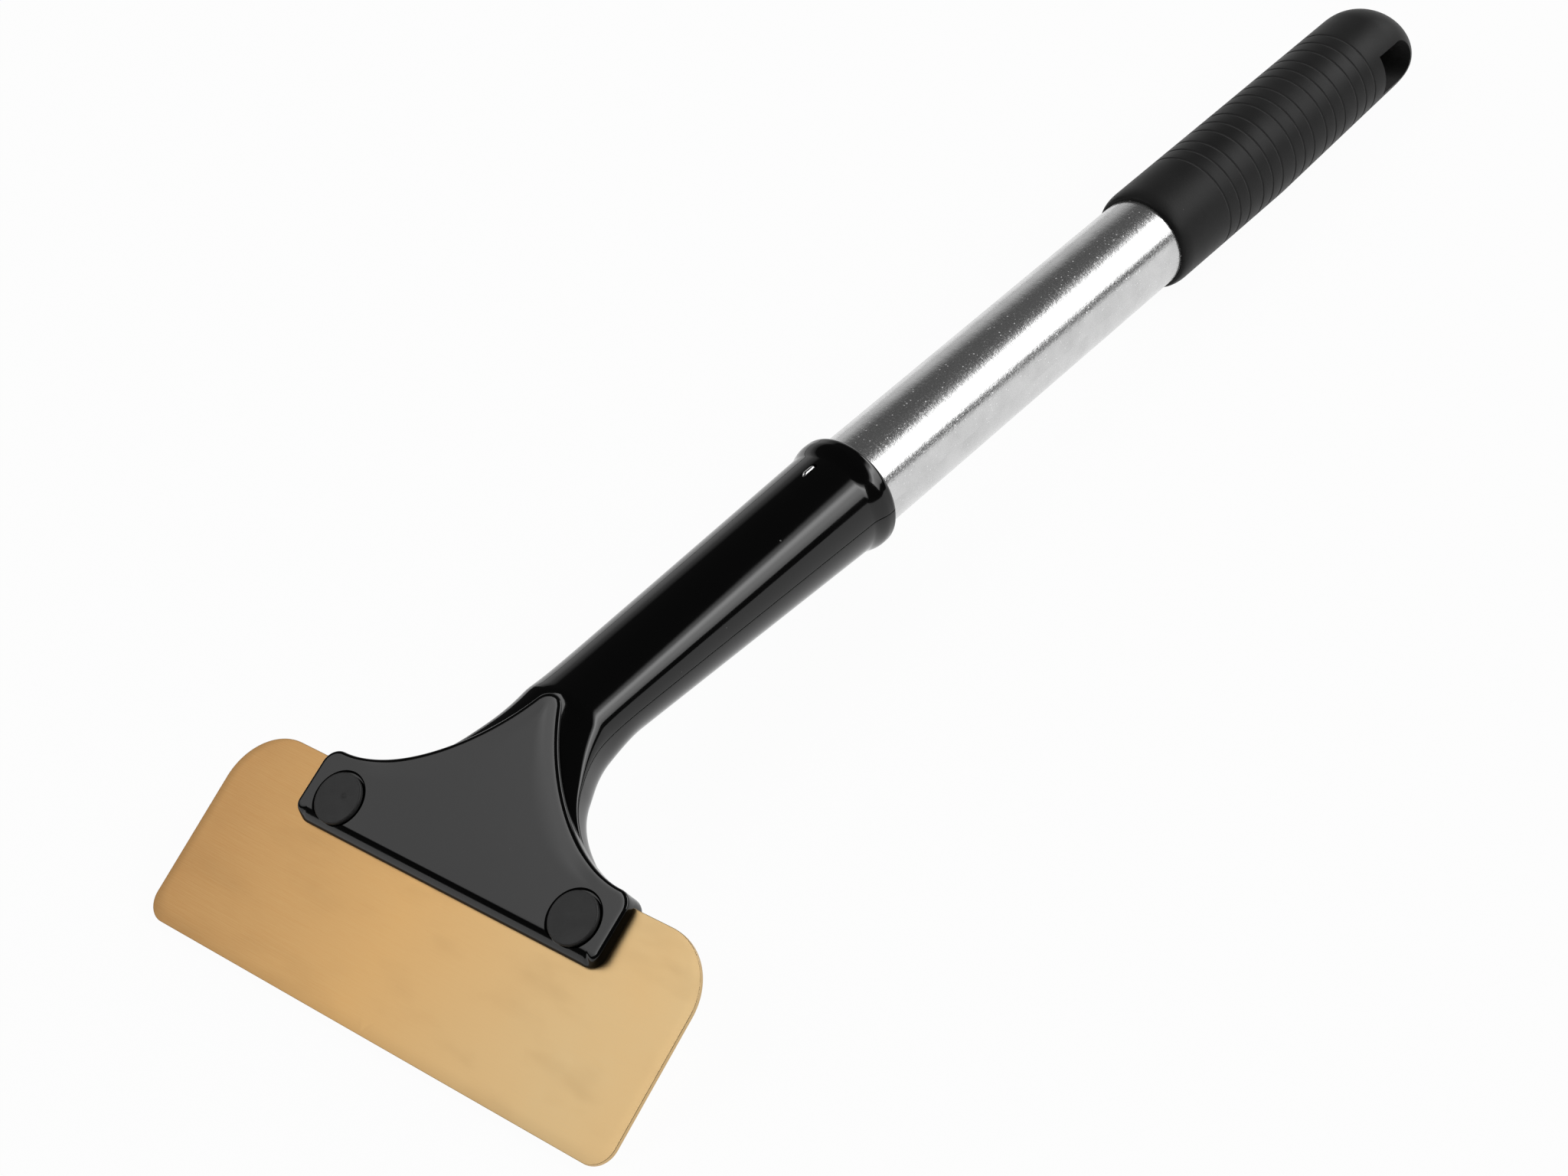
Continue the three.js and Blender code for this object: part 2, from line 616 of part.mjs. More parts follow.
function grooveRings() {
	const rings = [];
	for (let group = 0; group < GROOVE_GROUPS; group++) {
		for (let groove = 0; groove < GROOVES_IN_GROUP; groove++) {
			const middle = gripMouth + GROOVE_START + group * GROOVE_GROUP_PITCH + groove * GROOVE_PITCH;
			rings.push(gripRing(middle - GROOVE_WIDTH / 2, 0));
			rings.push(gripRing(middle, GROOVE_DEPTH));
			rings.push(gripRing(middle + GROOVE_WIDTH / 2, 0));
		}
	}
	return rings;
}

// Rings of the end, closer together where it rounds over
function domeRings() {
	return steps(0, 1, DOME_RINGS).slice(0, -1).map((part) => {
		return gripRing(domeStart + GRIP_DOME_LENGTH * Math.sin(part * Math.PI / 2), 0);
	});
}

function gripGeometry() {
	const body = solid(skin([...mouthRings(), ...grooveRings(), ...domeRings()]));
	const bore = TUBE_RADIUS + CLEARANCE;
	const socketEnd = tubeTop + CLEARANCE;
	const socket = [[0, 0], [bore, 0], [bore, socketEnd], [0, socketEnd]];
	return geometryOf(cut(body, solid(turned(socket, TUBE_SIDES)), hangHole()));
}

// Hanging hole across the grip's end: flat towards the tube, round towards the end
function hangHole() {
	const radius = HANG_HOLE_WIDTH / 2;
	const end = gripEnd - HANG_HOLE_TO_END;
	const flat = end - HANG_HOLE_LENGTH;
	const shape = new THREE.Shape();
	shape.moveTo(flat, radius);
	shape.lineTo(flat, -radius);
	shape.absarc(end - radius, 0, radius, -Math.PI / 2, Math.PI / 2);
	const settings = { depth: 2 * CUT_MARGIN, bevelEnabled: false, curveSegments: 2 * CURVE_STEPS };
	const bar = new THREE.ExtrudeGeometry(shape, settings).translate(0, HANG_HOLE_RISE, -CUT_MARGIN);
	return solid(bar.applyMatrix4(sideways));
}

const brass = { color: 0xc79a63, metalness: 1, roughness: 0.35 };
const glossBlack = { color: 0x0c0c0d, metalness: 0, roughness: 0.25 };
const capGrey = { color: 0x3a3a3a, metalness: 0, roughness: 0.7 };
const steel = { color: 0xcfd1d3, metalness: 1, roughness: 0.25 };
const zinc = { color: 0xb4b6b8, metalness: 1, roughness: 0.4 };
const rubber = { color: 0x232324, metalness: 0, roughness: 0.8 };

function piece(name, geometry, finish) {
	const mesh = new THREE.Mesh(geometry, new THREE.MeshStandardMaterial(finish));
	mesh.name = name;
	return mesh;
}

const tool = new THREE.Group();
tool.add(piece('scraper_blade', bladeGeometry(), brass));
tool.add(piece('head_front_shell', headFrontGeometry(), glossBlack));
tool.add(piece('head_rear_shell', headRearGeometry(), glossBlack));
for (const [name, side] of [['left', -1], ['right', 1]]) {
	const x = side * SCREW_SPACING / 2;
	tool.add(piece(`clamp_screw_${name}`, screwGeometry(x), zinc));
	tool.add(piece(`clamp_nut_${name}`, nutGeometry(x), zinc));
	tool.add(piece(`screw_cap_${name}`, capGeometry(x), capGrey));
}

const handle = new THREE.Group();
handle.position.copy(collarMouth);
handle.rotation.x = -TUBE_ANGLE;
handle.add(piece('handle_tube', tubeGeometry(), steel));
handle.add(piece('tube_staple', stapleGeometry(), zinc));
const grip = piece('grip_sleeve', gripGeometry(), rubber);
handle.add(grip);
tool.add(handle);

// The lean that brings the grip's lowest point level with the blade's rear cutting edge
function restingLean() {
	tool.updateMatrixWorld(true);
	const places = grip.geometry.attributes.position;
	const point = new THREE.Vector3();
	let lowest = 0;
	for (let i = 0; i < places.count; i++) {
		point.fromBufferAttribute(places, i).applyMatrix4(grip.matrixWorld);
		lowest = Math.min(lowest, Math.atan2(point.z + BLADE_THICKNESS / 2, point.y));
	}
	return -lowest;
}

tool.rotation.x = restingLean();
tool.updateMatrixWorld(true);
const bounds = new THREE.Box3().setFromObject(tool, true);
const middle = bounds.getCenter(new THREE.Vector3());
tool.position.set(-middle.x, -middle.y, -bounds.min.z);

const scraper = new THREE.Group();
scraper.add(tool);

export default scraper;
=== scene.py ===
import bmesh
import bpy
import numpy as np
from mathutils import Matrix, Vector


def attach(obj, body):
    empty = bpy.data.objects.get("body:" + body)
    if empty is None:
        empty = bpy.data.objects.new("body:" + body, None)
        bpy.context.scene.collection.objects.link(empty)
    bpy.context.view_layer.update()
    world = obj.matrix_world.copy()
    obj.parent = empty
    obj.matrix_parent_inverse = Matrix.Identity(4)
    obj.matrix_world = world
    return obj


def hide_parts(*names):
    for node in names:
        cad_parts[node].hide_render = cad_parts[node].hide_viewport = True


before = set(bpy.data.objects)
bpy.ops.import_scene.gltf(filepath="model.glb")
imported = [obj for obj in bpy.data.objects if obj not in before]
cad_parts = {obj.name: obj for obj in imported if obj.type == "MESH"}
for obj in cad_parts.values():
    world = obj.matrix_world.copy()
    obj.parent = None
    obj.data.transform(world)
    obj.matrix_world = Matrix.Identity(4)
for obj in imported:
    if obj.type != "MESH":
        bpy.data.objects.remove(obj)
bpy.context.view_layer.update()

# Lengths are in millimetres in the blade's frame: x across the blade, y up from its cutting edge,
# z out of its front.
MM = 0.001

# Meshes: metres within which points are one, the angle past which an edge stays sharp, how far cutters reach,
# the sides of round pieces, and the power of an ellipse among superellipses
WELD = 1e-6
CREASE = np.radians(32)
CUT_REACH = 20
HANDLE_SIDES = 160
CAP_SIDES = 96
SLOT_SIDES = 48
WIRE_SIDES = 24
ELLIPSE = 2

# Brass blade
BLADE_WIDTH = 129
BLADE_HEIGHT = 45
BLADE_THICKNESS = 1
BLADE_TOP_RADIUS = 13
BLADE_EDGE_RADIUS = 5
BLADE_BURR = 0.12

# Jaws and the raised plate on the front
JAW_WIDTH = 84
JAW_BOTTOM = 31.2
JAW_TOP = 47
JAW_LOWER_RADIUS = 0.8
JAW_UPPER_RADIUS = 1
REAR_JAW_INSET = 1.4
REAR_JAW_DEPTH = 6.3
REAR_JAW_ROUNDING = 2.6
REAR_JAW_RADIUS = 3
PLATE_HEIGHT = 3.4
PLATE_TILT = np.radians(2)
PLATE_TIP = 75.5
PLATE_TIP_RADIUS = 1
PLATE_FLANK_ANGLE = np.radians(27)
PLATE_SHOULDER = 14
PLATE_FLANK = 16.5
PLATE_BEVEL_RUN = 2.6
PLATE_BEVEL_DROP = 2.2
PLATE_BEVEL_POWER = 7
PLATE_BEVEL_EASE = 1.4
PLATE_LOWER_BEVEL_POWER = 1.3
PLATE_LOWER_TURN = (0.1, 0.95)
PLATE_CROWN = 0.09
PLATE_CROWN_WIDTH = 4
PLATE_CROWN_TURN = (0, 0.3)
PLATE_CROWN_ENDS = (34, 24)
PLATE_LEAST_WALL = 0.01
PLATE_STEP = 0.7
PLATE_MIDDLE = 38
EDGE_HOLD = 0.35
REAR_EDGE_HOLD = 0.21
SLOT_FACE = 0.53
SLOT_TOP = 45.3

# Joint between the two halves of the head
JOINT_GAP = 0.09
JOINT_LIP = 0.05

# Neck, collar and flare
NECK_ANGLE = np.radians(29.44)
NECK_FOOT = 61.65
NECK_LENGTH = 101.1
NECK_BASE_HALF_WIDTH = 10.4
NECK_BASE_FRONT = 7.6
NECK_BASE_REAR = 9.7
NECK_TOP_RADIUS = 12.25
NECK_WALL = 1.6
NECK_LEAST_HOLLOW = 0.3
COLLAR_LENGTH = 7
COLLAR_RISE = 4.5
COLLAR_RADIUS = 13.2
COLLAR_RIM_RADIUS = 1.5
COLLAR_BORE = 11.16
COLLAR_BORE_DEPTH = 4
BEND_TANGENT = 12
BEND_RADIUS = BEND_TANGENT / np.tan(NECK_ANGLE / 2)
BEND_LENGTH = BEND_RADIUS * NECK_ANGLE
BEND_START = NECK_FOOT - BEND_TANGENT
FLARE_SPREAD = 5
FLARE_LENGTH = 10
FLARE_FADE = 14
FLARE_START = -16
FLARE_END = 24
FLARE_REAR_START = -20
FLARE_REAR_END = 4
FLARE_REAR_DEPTH = 5.4
FLARE_SQUARENESS = 2
PLATE_BLEND = 0.5

# Tube and staple, along the tube's axis from the collar's mouth
TUBE_ANGLE = np.radians(28.24)
TUBE_RADIUS = 11.1
TUBE_WALL = 1.2
TUBE_TAIL_RADIUS = 8.5
TUBE_SHOULDER = -3
TUBE_SWAGE = -10
TUBE_TAIL = -43
TUBE_TOP = 151.4
STAPLE_LENGTH = 4.3
STAPLE_WIRE = 1
STAPLE_BEND = 0.75
STAPLE_PROUD = 0.35
STAPLE_LEG = 5.3
STAPLE_BELOW_MOUTH = 11
STAPLE_ROOM = 0.22
STAPLE_ROOM_DEPTH = 0.9
STAPLE_ROOM_HEIGHT = 6

# Screws under their caps
SCREW_X = 32.7
SCREW_Y = 38
SCREW_ROOM = 2.3
SCREW_SEAT = 1.9225
NUT_ROOM = 3.8 / np.cos(np.pi / 6)
NUT_FRONT = -3.2
CAP_RADIUS = 5.5
CAP_TOP = 3.9
CAP_DOME = 0.1
CAP_EDGE = 0.3
CAP_ROOM = 5.85
CAP_CHAMFER = 0.4
CAP_CONE = 6
CAP_FLOOR = 2.5625
CAP_BOTTOM = 2.8625
CAP_INSIDE = 3.5225
CAP_SKIRT_INSIDE = 4.3
CAP_SKIRT_OUTSIDE = 4.8
CAP_SKIRT_END = 2.4625
CAP_SKIRT_ROOM = 5.1
CAP_NUB_PLACE = (1.6, 1.0)
CAP_NUB_WIDTH = 0.5
CAP_NUB_HEIGHT = 0.22

# Rubber grip, along the tube's axis
GRIP_MOUTH = 107.4
GRIP_END = 214.5
GRIP_RADIUS = 12.5
GRIP_MOUTH_LENGTH = 3.6
GRIP_MOUTH_HEIGHT = 0.9
GRIP_BORE = 11.16
GRIP_SOCKET_END = 151.7
GRIP_END_REAR = 9.3
GRIP_END_HALF_WIDTH = 12
GRIP_DOME_LENGTH = 15
GRIP_TIP_DROP = 2
GRIP_REAR_SHARPNESS = 6
GRIP_FRONT_SHARPNESS = 2
GRIP_SIDE_SHARPNESS = 2.6
GROOVE_GROUPS = 5
GROOVES_IN_GROUP = 3
GROOVE_START = 18.1
GROOVE_PITCH = 4.15
GROOVE_GROUP_PITCH = 13.75
GROOVE_WIDTH = 0.8
GROOVE_DEPTH = 0.2
GROOVE_RINGS = 13
GROOVE_SPREAD = 0.55
GROOVE_CLEAR = 0.8
GROOVE_FAR = 2 * GROOVE_WIDTH
HANG_HOLE_WIDTH = 10.4
HANG_HOLE_FLAT = 193.7
HANG_HOLE_END = 206.7
HANG_HOLE_RISE = 1.4

# Camera: where it stands in the blade's frame, the axis times angle that turns that frame into its own,
# its lens, the width of its sensor, and the nearest and furthest metres that it sees
CAMERA_PLACE = (380.730858, 0.677423, 466.033525)
CAMERA_TURN = (2.620619, 0.609156, -0.793533)
CAMERA_LENS = 71.0232
CAMERA_SENSOR = 36
CAMERA_RANGE = (0.01, 100)


def tool_frame():
    """The middle of the blade's cutting edge, and the blade's own axes from the spread of its corners."""
    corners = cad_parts["scraper_blade"].data.vertices
    points = np.empty(3 * len(corners))
    corners.foreach_get("co", points)
    points = np.unique(points.reshape(-1, 3).round(7), axis=0)
    normal = np.linalg.svd(points - points.mean(0), full_matrices=False)[2][2]
    normal *= np.sign(normal[2])
    across = np.array((1.0, 0.0, 0.0))
    axes = np.stack((across, np.cross(normal, across), normal))
    low, high = (points @ axes.T).min(0), (points @ axes.T).max(0)
    edge = np.array(((low[0] + high[0]) / 2, low[1], (low[2] + high[2]) / 2))
    return edge @ axes, axes


EDGE_MIDDLE, AXES = tool_frame()


def place(points):
    """Millimetres in the blade's frame, as metres in the world."""
    return EDGE_MIDDLE + MM * (np.asarray(points, float) @ AXES)


def smooth(value, low, high):
    """A step that leaves low and reaches high with no slope: 3 t squared less 2 t cubed."""
    part = np.clip((value - low) / (high - low), 0, 1)
    return part * part * (3 - 2 * part)


def mix(a, b, part):
    """A value part of the way from a to b."""
    return a + (b - a) * part


def soft_min(a, b, width):
    """The smaller of two values, with a parabola across their crossing."""
    part = np.clip(0.5 + 0.5 * (b - a) / width, 0, 1)
    return mix(b, a, part) - width * part * (1 - part)


def stack(x, y, z):
    """Points from grids of their three coordinates."""
    return np.stack(np.broadcast_arrays(x, y, z), -1).astype(float)


def grid_faces(here):
    """The four corners of each cell in a grid of point numbers."""
    return np.stack([here[:-1, :-1], here[:-1, 1:], here[1:, 1:], here[1:, :-1]], -1).reshape(-1, 4)


def new_object(name, data):
    """An object in the scene that holds the data."""
    thing = bpy.data.objects.new(name, data)
    bpy.context.scene.collection.objects.link(thing)
    return thing


def sheet(name, patches):
    """One mesh from grids of points, each with its flat map or None: quads between neighbours, with seams and
    poles welded."""
    points, flats, faces, first = [], [], [], 0
    for points_of, flat in patches:
        rows, columns = points_of.shape[:2]
        here = first + np.arange(rows * columns).reshape(rows, columns)
        faces.append(grid_faces(here))
        points.append(points_of.reshape(-1, 3))
        flats.append(np.zeros((rows * columns, 2)) if flat is None else flat.reshape(-1, 2))
        first += rows * columns
    faces = np.concatenate(faces)
    mesh = bpy.data.meshes.new(name)
    mesh.from_pydata(place(np.concatenate(points)), [], faces)
    flats = np.concatenate(flats)[faces.ravel()]
    mesh.uv_layers.new(name="flat").data.foreach_set("uv", flats.ravel())
    work = bmesh.new()
    work.from_mesh(mesh)
    bmesh.ops.remove_doubles(work, verts=work.verts, dist=WELD)
    bmesh.ops.dissolve_degenerate(work, dist=WELD, edges=work.edges)
    bmesh.ops.recalc_face_normals(work, faces=work.faces)
    work.to_mesh(mesh)
    work.free()
    return new_object(name, mesh)


def carve(thing, cutters):
    """Takes the cutters out of a piece and throws them away."""
    for cutter in cutters:
        cut = thing.modifiers.new("cut", "BOOLEAN")
        cut.operation, cut.solver, cut.object = "DIFFERENCE", "EXACT", cutter
        bpy.context.view_layer.update()
        shape = thing.evaluated_get(bpy.context.evaluated_depsgraph_get())
        carved = bpy.data.meshes.new_from_object(shape)
        thing.modifiers.clear()
        spent = thing.data
        thing.data = carved
        bpy.data.meshes.remove(spent)
        bpy.data.meshes.remove(cutter.data)
    return thing


def join(name, things):
    """Several closed meshes as one piece."""
    work = bmesh.new()
    mesh = bpy.data.meshes.new(name)
    for thing in things:
        work.from_mesh(thing.data)
    work.to_mesh(mesh)
    work.free()
    for thing in things:
        bpy.data.meshes.remove(thing.data)
    return new_object(name, mesh)


def finish_piece(thing, node, finish):
    """Smooth faces with creases where they turn sharply, the finish, and the node that the piece replaces."""
    mesh = thing.data
    mesh.polygons.foreach_set("use_smooth", np.ones(len(mesh.polygons), bool))
    mesh.set_sharp_from_angle(angle=CREASE)
    mesh.materials.clear()
    mesh.materials.append(finish)
    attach(thing, "root")
    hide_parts(node)


def arc(x, y, radius, start, end, count):
    """Points of a circular arc and the directions out of it."""
    angle = np.linspace(start, end, count)
    out = np.stack((np.cos(angle), np.sin(angle)), -1)
    return np.array((x, y)) + radius * out, out


def straight(start, end, out, count):
    """Points of a straight line and the direction out of it at each."""
    part = np.linspace(0, 1, count)[:, None]
    points = mix(np.array(start, float), np.array(end, float), part)
    return points, np.tile(np.array(out, float), (count, 1))


def sweep(p0, p1, p2, p3, count):
    """Points of a cubic curve by its four control points, and the directions to its right."""
    t = np.linspace(0, 1, count)[:, None]
    p0, p1, p2, p3 = (np.array(p, float) for p in (p0, p1, p2, p3))
    points = (1 - t) ** 3 * p0 + 3 * t * (1 - t) ** 2 * p1 + 3 * t * t * (1 - t) * p2 + t ** 3 * p3
    along = (1 - t) ** 2 * (p1 - p0) + 2 * t * (1 - t) * (p2 - p1) + t * t * (p3 - p2)
    along /= np.linalg.norm(along, axis=1, keepdims=True)
    return points, np.stack((along[:, 1], -along[:, 0]), -1)


def chain(*parts):
    """Curves end to end as one outline, each without its first point, which the one before it has."""
    points = np.concatenate([parts[0][0]] + [p[1:] for p, _ in parts[1:]])
    out = np.concatenate([parts[0][1]] + [o[1:] for _, o in parts[1:]])
    return points, out


# Blade

def blade():
    """Two mirrored halves. Each face runs from the screw's hole out to the sheet's outline, which has two
    small and two large round corners; quarter circles of the burr's radius round the sheet's edge over."""
    half, top, burr = BLADE_WIDTH / 2, BLADE_HEIGHT, BLADE_BURR
    edge, up = BLADE_EDGE_RADIUS, BLADE_TOP_RADIUS
    rim, out = chain(
        straight((0, 0), (half - edge, 0), (0, -1), 40),
        arc(half - edge, edge, edge, -np.pi / 2, 0, 24),
        straight((half, edge), (half, top - up), (1, 0), 20),
        arc(half - up, top - up, up, 0, np.pi / 2, 36),
        straight((half - up, top), (0, top), (0, 1), 40),
    )
    inner = rim - burr * out
    seam = np.stack((np.zeros(29), np.linspace(top - burr, burr, 31)[1:-1]), -1)
    loop = np.concatenate((inner, seam, inner[:1]))
    screw = np.array((SCREW_X, SCREW_Y))
    ray = loop - screw
    hole = screw + SCREW_ROOM * ray / np.linalg.norm(ray, axis=1, keepdims=True)
    part = np.linspace(0, 1, 14)[:, None, None]
    face = mix(hole[None], loop[None], part)
    thick = BLADE_THICKNESS / 2
    quarter = np.linspace(0, np.pi / 2, 6)
    turn = np.concatenate((quarter, np.pi / 2 + quarter))[:, None]
    lift = np.repeat((thick - burr, burr - thick), quarter.size)[:, None]
    swell = inner[None] + burr * np.sin(turn)[..., None] * out[None]
    depth = np.array((thick, -thick))[:, None]
    patches = []
    for side in (1, -1):
        flip = np.array((side, 1))
        for z in depth[:, 0]:
            patches.append((stack(side * face[..., 0], face[..., 1], z), face * flip))
        edge_over = stack(side * swell[..., 0], swell[..., 1], lift + burr * np.cos(turn))
        patches.append((edge_over, swell * flip))
        wall = stack(side * hole[None, :, 0], hole[None, :, 1], depth)
        patches.append((wall, wall[..., :2]))
    return sheet("brass_blade", patches)


# Head

def head_path(along):
    """The joint's line up the blade's plane, round the bend and along the neck: height, depth and lean."""
    lean = np.clip(along / BEND_LENGTH + 0.5, 0, 1) * NECK_ANGLE
    before = np.minimum(along + BEND_LENGTH / 2, 0)
    after = np.maximum(along - BEND_LENGTH / 2, 0)
    y = BEND_START + before + BEND_RADIUS * np.sin(lean) + after * np.cos(lean)
    z = -BEND_RADIUS * (1 - np.cos(lean)) - after * np.sin(lean)
    return y, z, lean


def along_neck(length):
    """A length up the neck from its foot, as a place on the joint's line."""
    return length - BEND_TANGENT + BEND_LENGTH / 2


def plate_face(y):
    """How far the plate's flat face stands out at a height."""
    return PLATE_HEIGHT - (y - JAW_BOTTOM) * np.tan(PLATE_TILT)


def neck_size(base, length):
    """A straight taper up to the collar, a smooth rise onto it and a quarter circle at its mouth."""
    start = NECK_LENGTH - COLLAR_LENGTH
    taper = mix(base, NECK_TOP_RADIUS, np.minimum(length / start, 1))
    rise = (COLLAR_RADIUS - NECK_TOP_RADIUS) * smooth(length, start, start + COLLAR_RISE)
    into = np.maximum(length - (NECK_LENGTH - COLLAR_RIM_RADIUS), 0)
    rim = COLLAR_RIM_RADIUS - np.sqrt(np.maximum(COLLAR_RIM_RADIUS ** 2 - into ** 2, 0))
    return taper + rise - rim


def head_section(along):
    """Half width, front depth, rear depth and rear squareness of the head; the flare is a falling power of
    e, and the front stays a step below the plate's face."""
    y, z, lean = head_path(along)
    length = along - along_neck(0)
    under = (plate_face(y) - PLATE_STEP - z) / np.cos(lean)
    fade = along / FLARE_LENGTH + np.maximum(along / FLARE_FADE, 0) ** 2
    half = neck_size(NECK_BASE_HALF_WIDTH, length) + FLARE_SPREAD * np.exp(-fade)
    front = soft_min(neck_size(NECK_BASE_FRONT, length), under, PLATE_BLEND)
    into = smooth(along, FLARE_REAR_START, FLARE_REAR_END)
    rear = mix(FLARE_REAR_DEPTH, neck_size(NECK_BASE_REAR, length), into)
    square = ELLIPSE + FLARE_SQUARENESS * (1 - smooth(along, 0, FLARE_END))
    return half, front, rear, square


def neck_half(name, front):
    """Half of the flare, neck and collar: a half superellipse carried along the joint's line, with a small
    round lip at the joint, an inner wall, flat joint faces and a closed ring at each end."""
    rise = along_neck(NECK_LENGTH - COLLAR_LENGTH)
    rim = along_neck(NECK_LENGTH - COLLAR_RIM_RADIUS)
    along = np.concatenate((
        np.linspace(FLARE_START, FLARE_END, 96),
        np.linspace(FLARE_END, rise, 50)[1:],
        np.linspace(rise, rise + COLLAR_RISE, 20)[1:-1],
        np.linspace(rise + COLLAR_RISE, rim, 4)[:-1],
        rim + COLLAR_RIM_RADIUS * np.sin(np.linspace(0, np.pi / 2, 12)),
    ))[:, None]
    y, z, lean = head_path(along)
    half, depth_front, depth_rear, square = head_section(along)
    depth = depth_front if front else depth_rear
    power = np.full_like(square, ELLIPSE) if front else square
    ease = np.linspace(0, np.pi / 2, 5)[None]
    lip_out = JOINT_GAP + JOINT_LIP * (1 - np.cos(ease)) + 0 * depth
    lip_x = half * (1 - (lip_out / depth) ** power) ** (1 / power) - JOINT_LIP * (1 - np.sin(ease))
    first = np.arcsin((JOINT_GAP + JOINT_LIP) / depth)
    angle = mix(first, np.pi - first, np.linspace(0, 1, 113)[None, 1:-1])
    reach = (np.abs(np.cos(angle)) ** power + np.sin(angle) ** power) ** (-1 / power)
    x = np.concatenate((lip_x, half * np.cos(angle) * reach, -lip_x[:, ::-1]), 1)
    out = np.concatenate((lip_out, depth * np.sin(angle) * reach, lip_out[:, ::-1]), 1)
    inside = np.linspace(0, np.pi, x.shape[1])[None]
    bored = along > along_neck(NECK_LENGTH - COLLAR_BORE_DEPTH)
    inner_half = np.where(bored, COLLAR_BORE, half - NECK_WALL)
    inner_depth = np.where(bored, COLLAR_BORE, np.maximum(depth - NECK_WALL, NECK_LEAST_HOLLOW * depth))
    inner_x = inner_half * np.cos(inside)
    inner_out = JOINT_GAP + (inner_depth - JOINT_GAP) * np.sin(inside)
    sign = 1 if front else -1

    def laid(x, out):
        return stack(x, y + sign * out * np.sin(lean), z + sign * out * np.cos(lean))

    outer, inner = laid(x, out), laid(inner_x, inner_out)
    sides = [np.stack((outer[:, column], inner[:, column]), 1) for column in (0, -1)]
    ends = [np.stack((outer[row], inner[row])) for row in (0, -1)]
    return sheet(name, [(points, None) for points in (outer, inner, *sides, *ends)])


def plate_outline():
    """The flat face's outline: a wide foot with round corners, whose top sweeps in to a round tip."""
    half = JAW_WIDTH / 2 - PLATE_BEVEL_RUN
    bottom, top = JAW_BOTTOM + PLATE_BEVEL_RUN, JAW_TOP - PLATE_BEVEL_RUN
    low, high, tip = JAW_LOWER_RADIUS, JAW_UPPER_RADIUS, PLATE_TIP_RADIUS
    tip_y = PLATE_TIP - PLATE_BEVEL_RUN - tip
    sin, cos = np.sin(PLATE_FLANK_ANGLE), np.cos(PLATE_FLANK_ANGLE)
    tangent = np.array((tip * cos, tip_y + tip * sin))
    flank = tangent + PLATE_FLANK * np.array((sin, -cos))
    shoulder = np.array((half - high - PLATE_SHOULDER, top))
    corner = np.array((half - high, top))
    flip = np.array((-1, 1))
    return chain(
        straight((-half + low, bottom), (half - low, bottom), (0, -1), 48),
        arc(half - low, bottom + low, low, -np.pi / 2, 0, 14),
        straight((half, bottom + low), (half, top - high), (1, 0), 8),
        arc(half - high, top - high, high, 0, np.pi / 2, 12),
        sweep(corner, shoulder, flank, tangent, 72),
        arc(0, tip_y, tip, PLATE_FLANK_ANGLE, np.pi - PLATE_FLANK_ANGLE, 16),
        sweep(tangent * flip, flank * flip, shoulder * flip, corner * flip, 72),
        arc(-half + high, top - high, high, np.pi / 2, np.pi, 12),
        straight((-half, top - high), (-half, bottom + low), (-1, 0), 8),
        arc(-half + low, bottom + low, low, np.pi, np.pi * 1.5, 14),
    )


def slot_edge(y, sign):
    """Where a jaw ends: on the blade's face, and past the blade's top edge at the joint."""
    return sign * np.where(y < SLOT_TOP, SLOT_FACE, JOINT_GAP)


def front_plate():
    """The raised plate: a flat tilted face that falls with the square of the distance near its flanks, a
    quarter superellipse over its outline that is nearly square at the top and sides and nearly straight along
    the lower edge, and a wall down to the blade."""
    outline, out = plate_outline()
    hold = outline - EDGE_HOLD * out
    part = np.linspace(0, 1, 24)[:, None]
    turn = np.pi / 2 * part ** PLATE_BEVEL_EASE
    lower = smooth(-out[:, 1], *PLATE_LOWER_TURN)
    power = mix(PLATE_BEVEL_POWER, PLATE_LOWER_BEVEL_POWER, lower)
    run = PLATE_BEVEL_RUN * np.sin(turn) ** (2 / power)
    fall = PLATE_BEVEL_DROP * (1 - np.cos(turn).clip(0) ** (2 / power))
    bevel = outline[None] + run[..., None] * out[None]
    middle = np.array((0, PLATE_MIDDLE))
    inner = np.concatenate((np.linspace(0, 0.6, 4), np.linspace(0.68, 1, 13)))[:, None]
    face = mix(middle, hold[None], inner[..., None])
    flat = np.concatenate((face, outline[None], bevel[1:]))
    inward = (1 - inner) * np.linalg.norm(hold - middle, axis=1) + EDGE_HOLD
    away = np.concatenate((inward, -run))
    near = 1 - away / PLATE_CROWN_WIDTH
    flank = smooth(out[:, 1], *PLATE_CROWN_TURN) * smooth(np.abs(outline[:, 0]), *PLATE_CROWN_ENDS)
    crown = PLATE_CROWN * flank * np.where(near > 1, 2 * near - 1, near.clip(0) ** 2)
    drop = -crown - np.concatenate((np.zeros_like(inward), fall))
    along = flat[..., 1] - JAW_BOTTOM
    y = JAW_BOTTOM + along * np.cos(PLATE_TILT) + drop * np.sin(PLATE_TILT)
    z = PLATE_HEIGHT - along * np.sin(PLATE_TILT) + drop * np.cos(PLATE_TILT)
    top = stack(flat[..., 0], y, z)
    foot = top[-1].copy()
    foot[:, 2] = np.minimum(slot_edge(foot[:, 1], 1), foot[:, 2] - PLATE_LEAST_WALL)
    steps = np.linspace(0, 1, 3)[:, None, None]
    wall = mix(top[-1][None], foot[None], steps)
    under = mix(np.array((0, PLATE_MIDDLE, SLOT_FACE)), foot[None], steps)
    return sheet("front_plate", [(top, None), (wall, None), (under, None)])


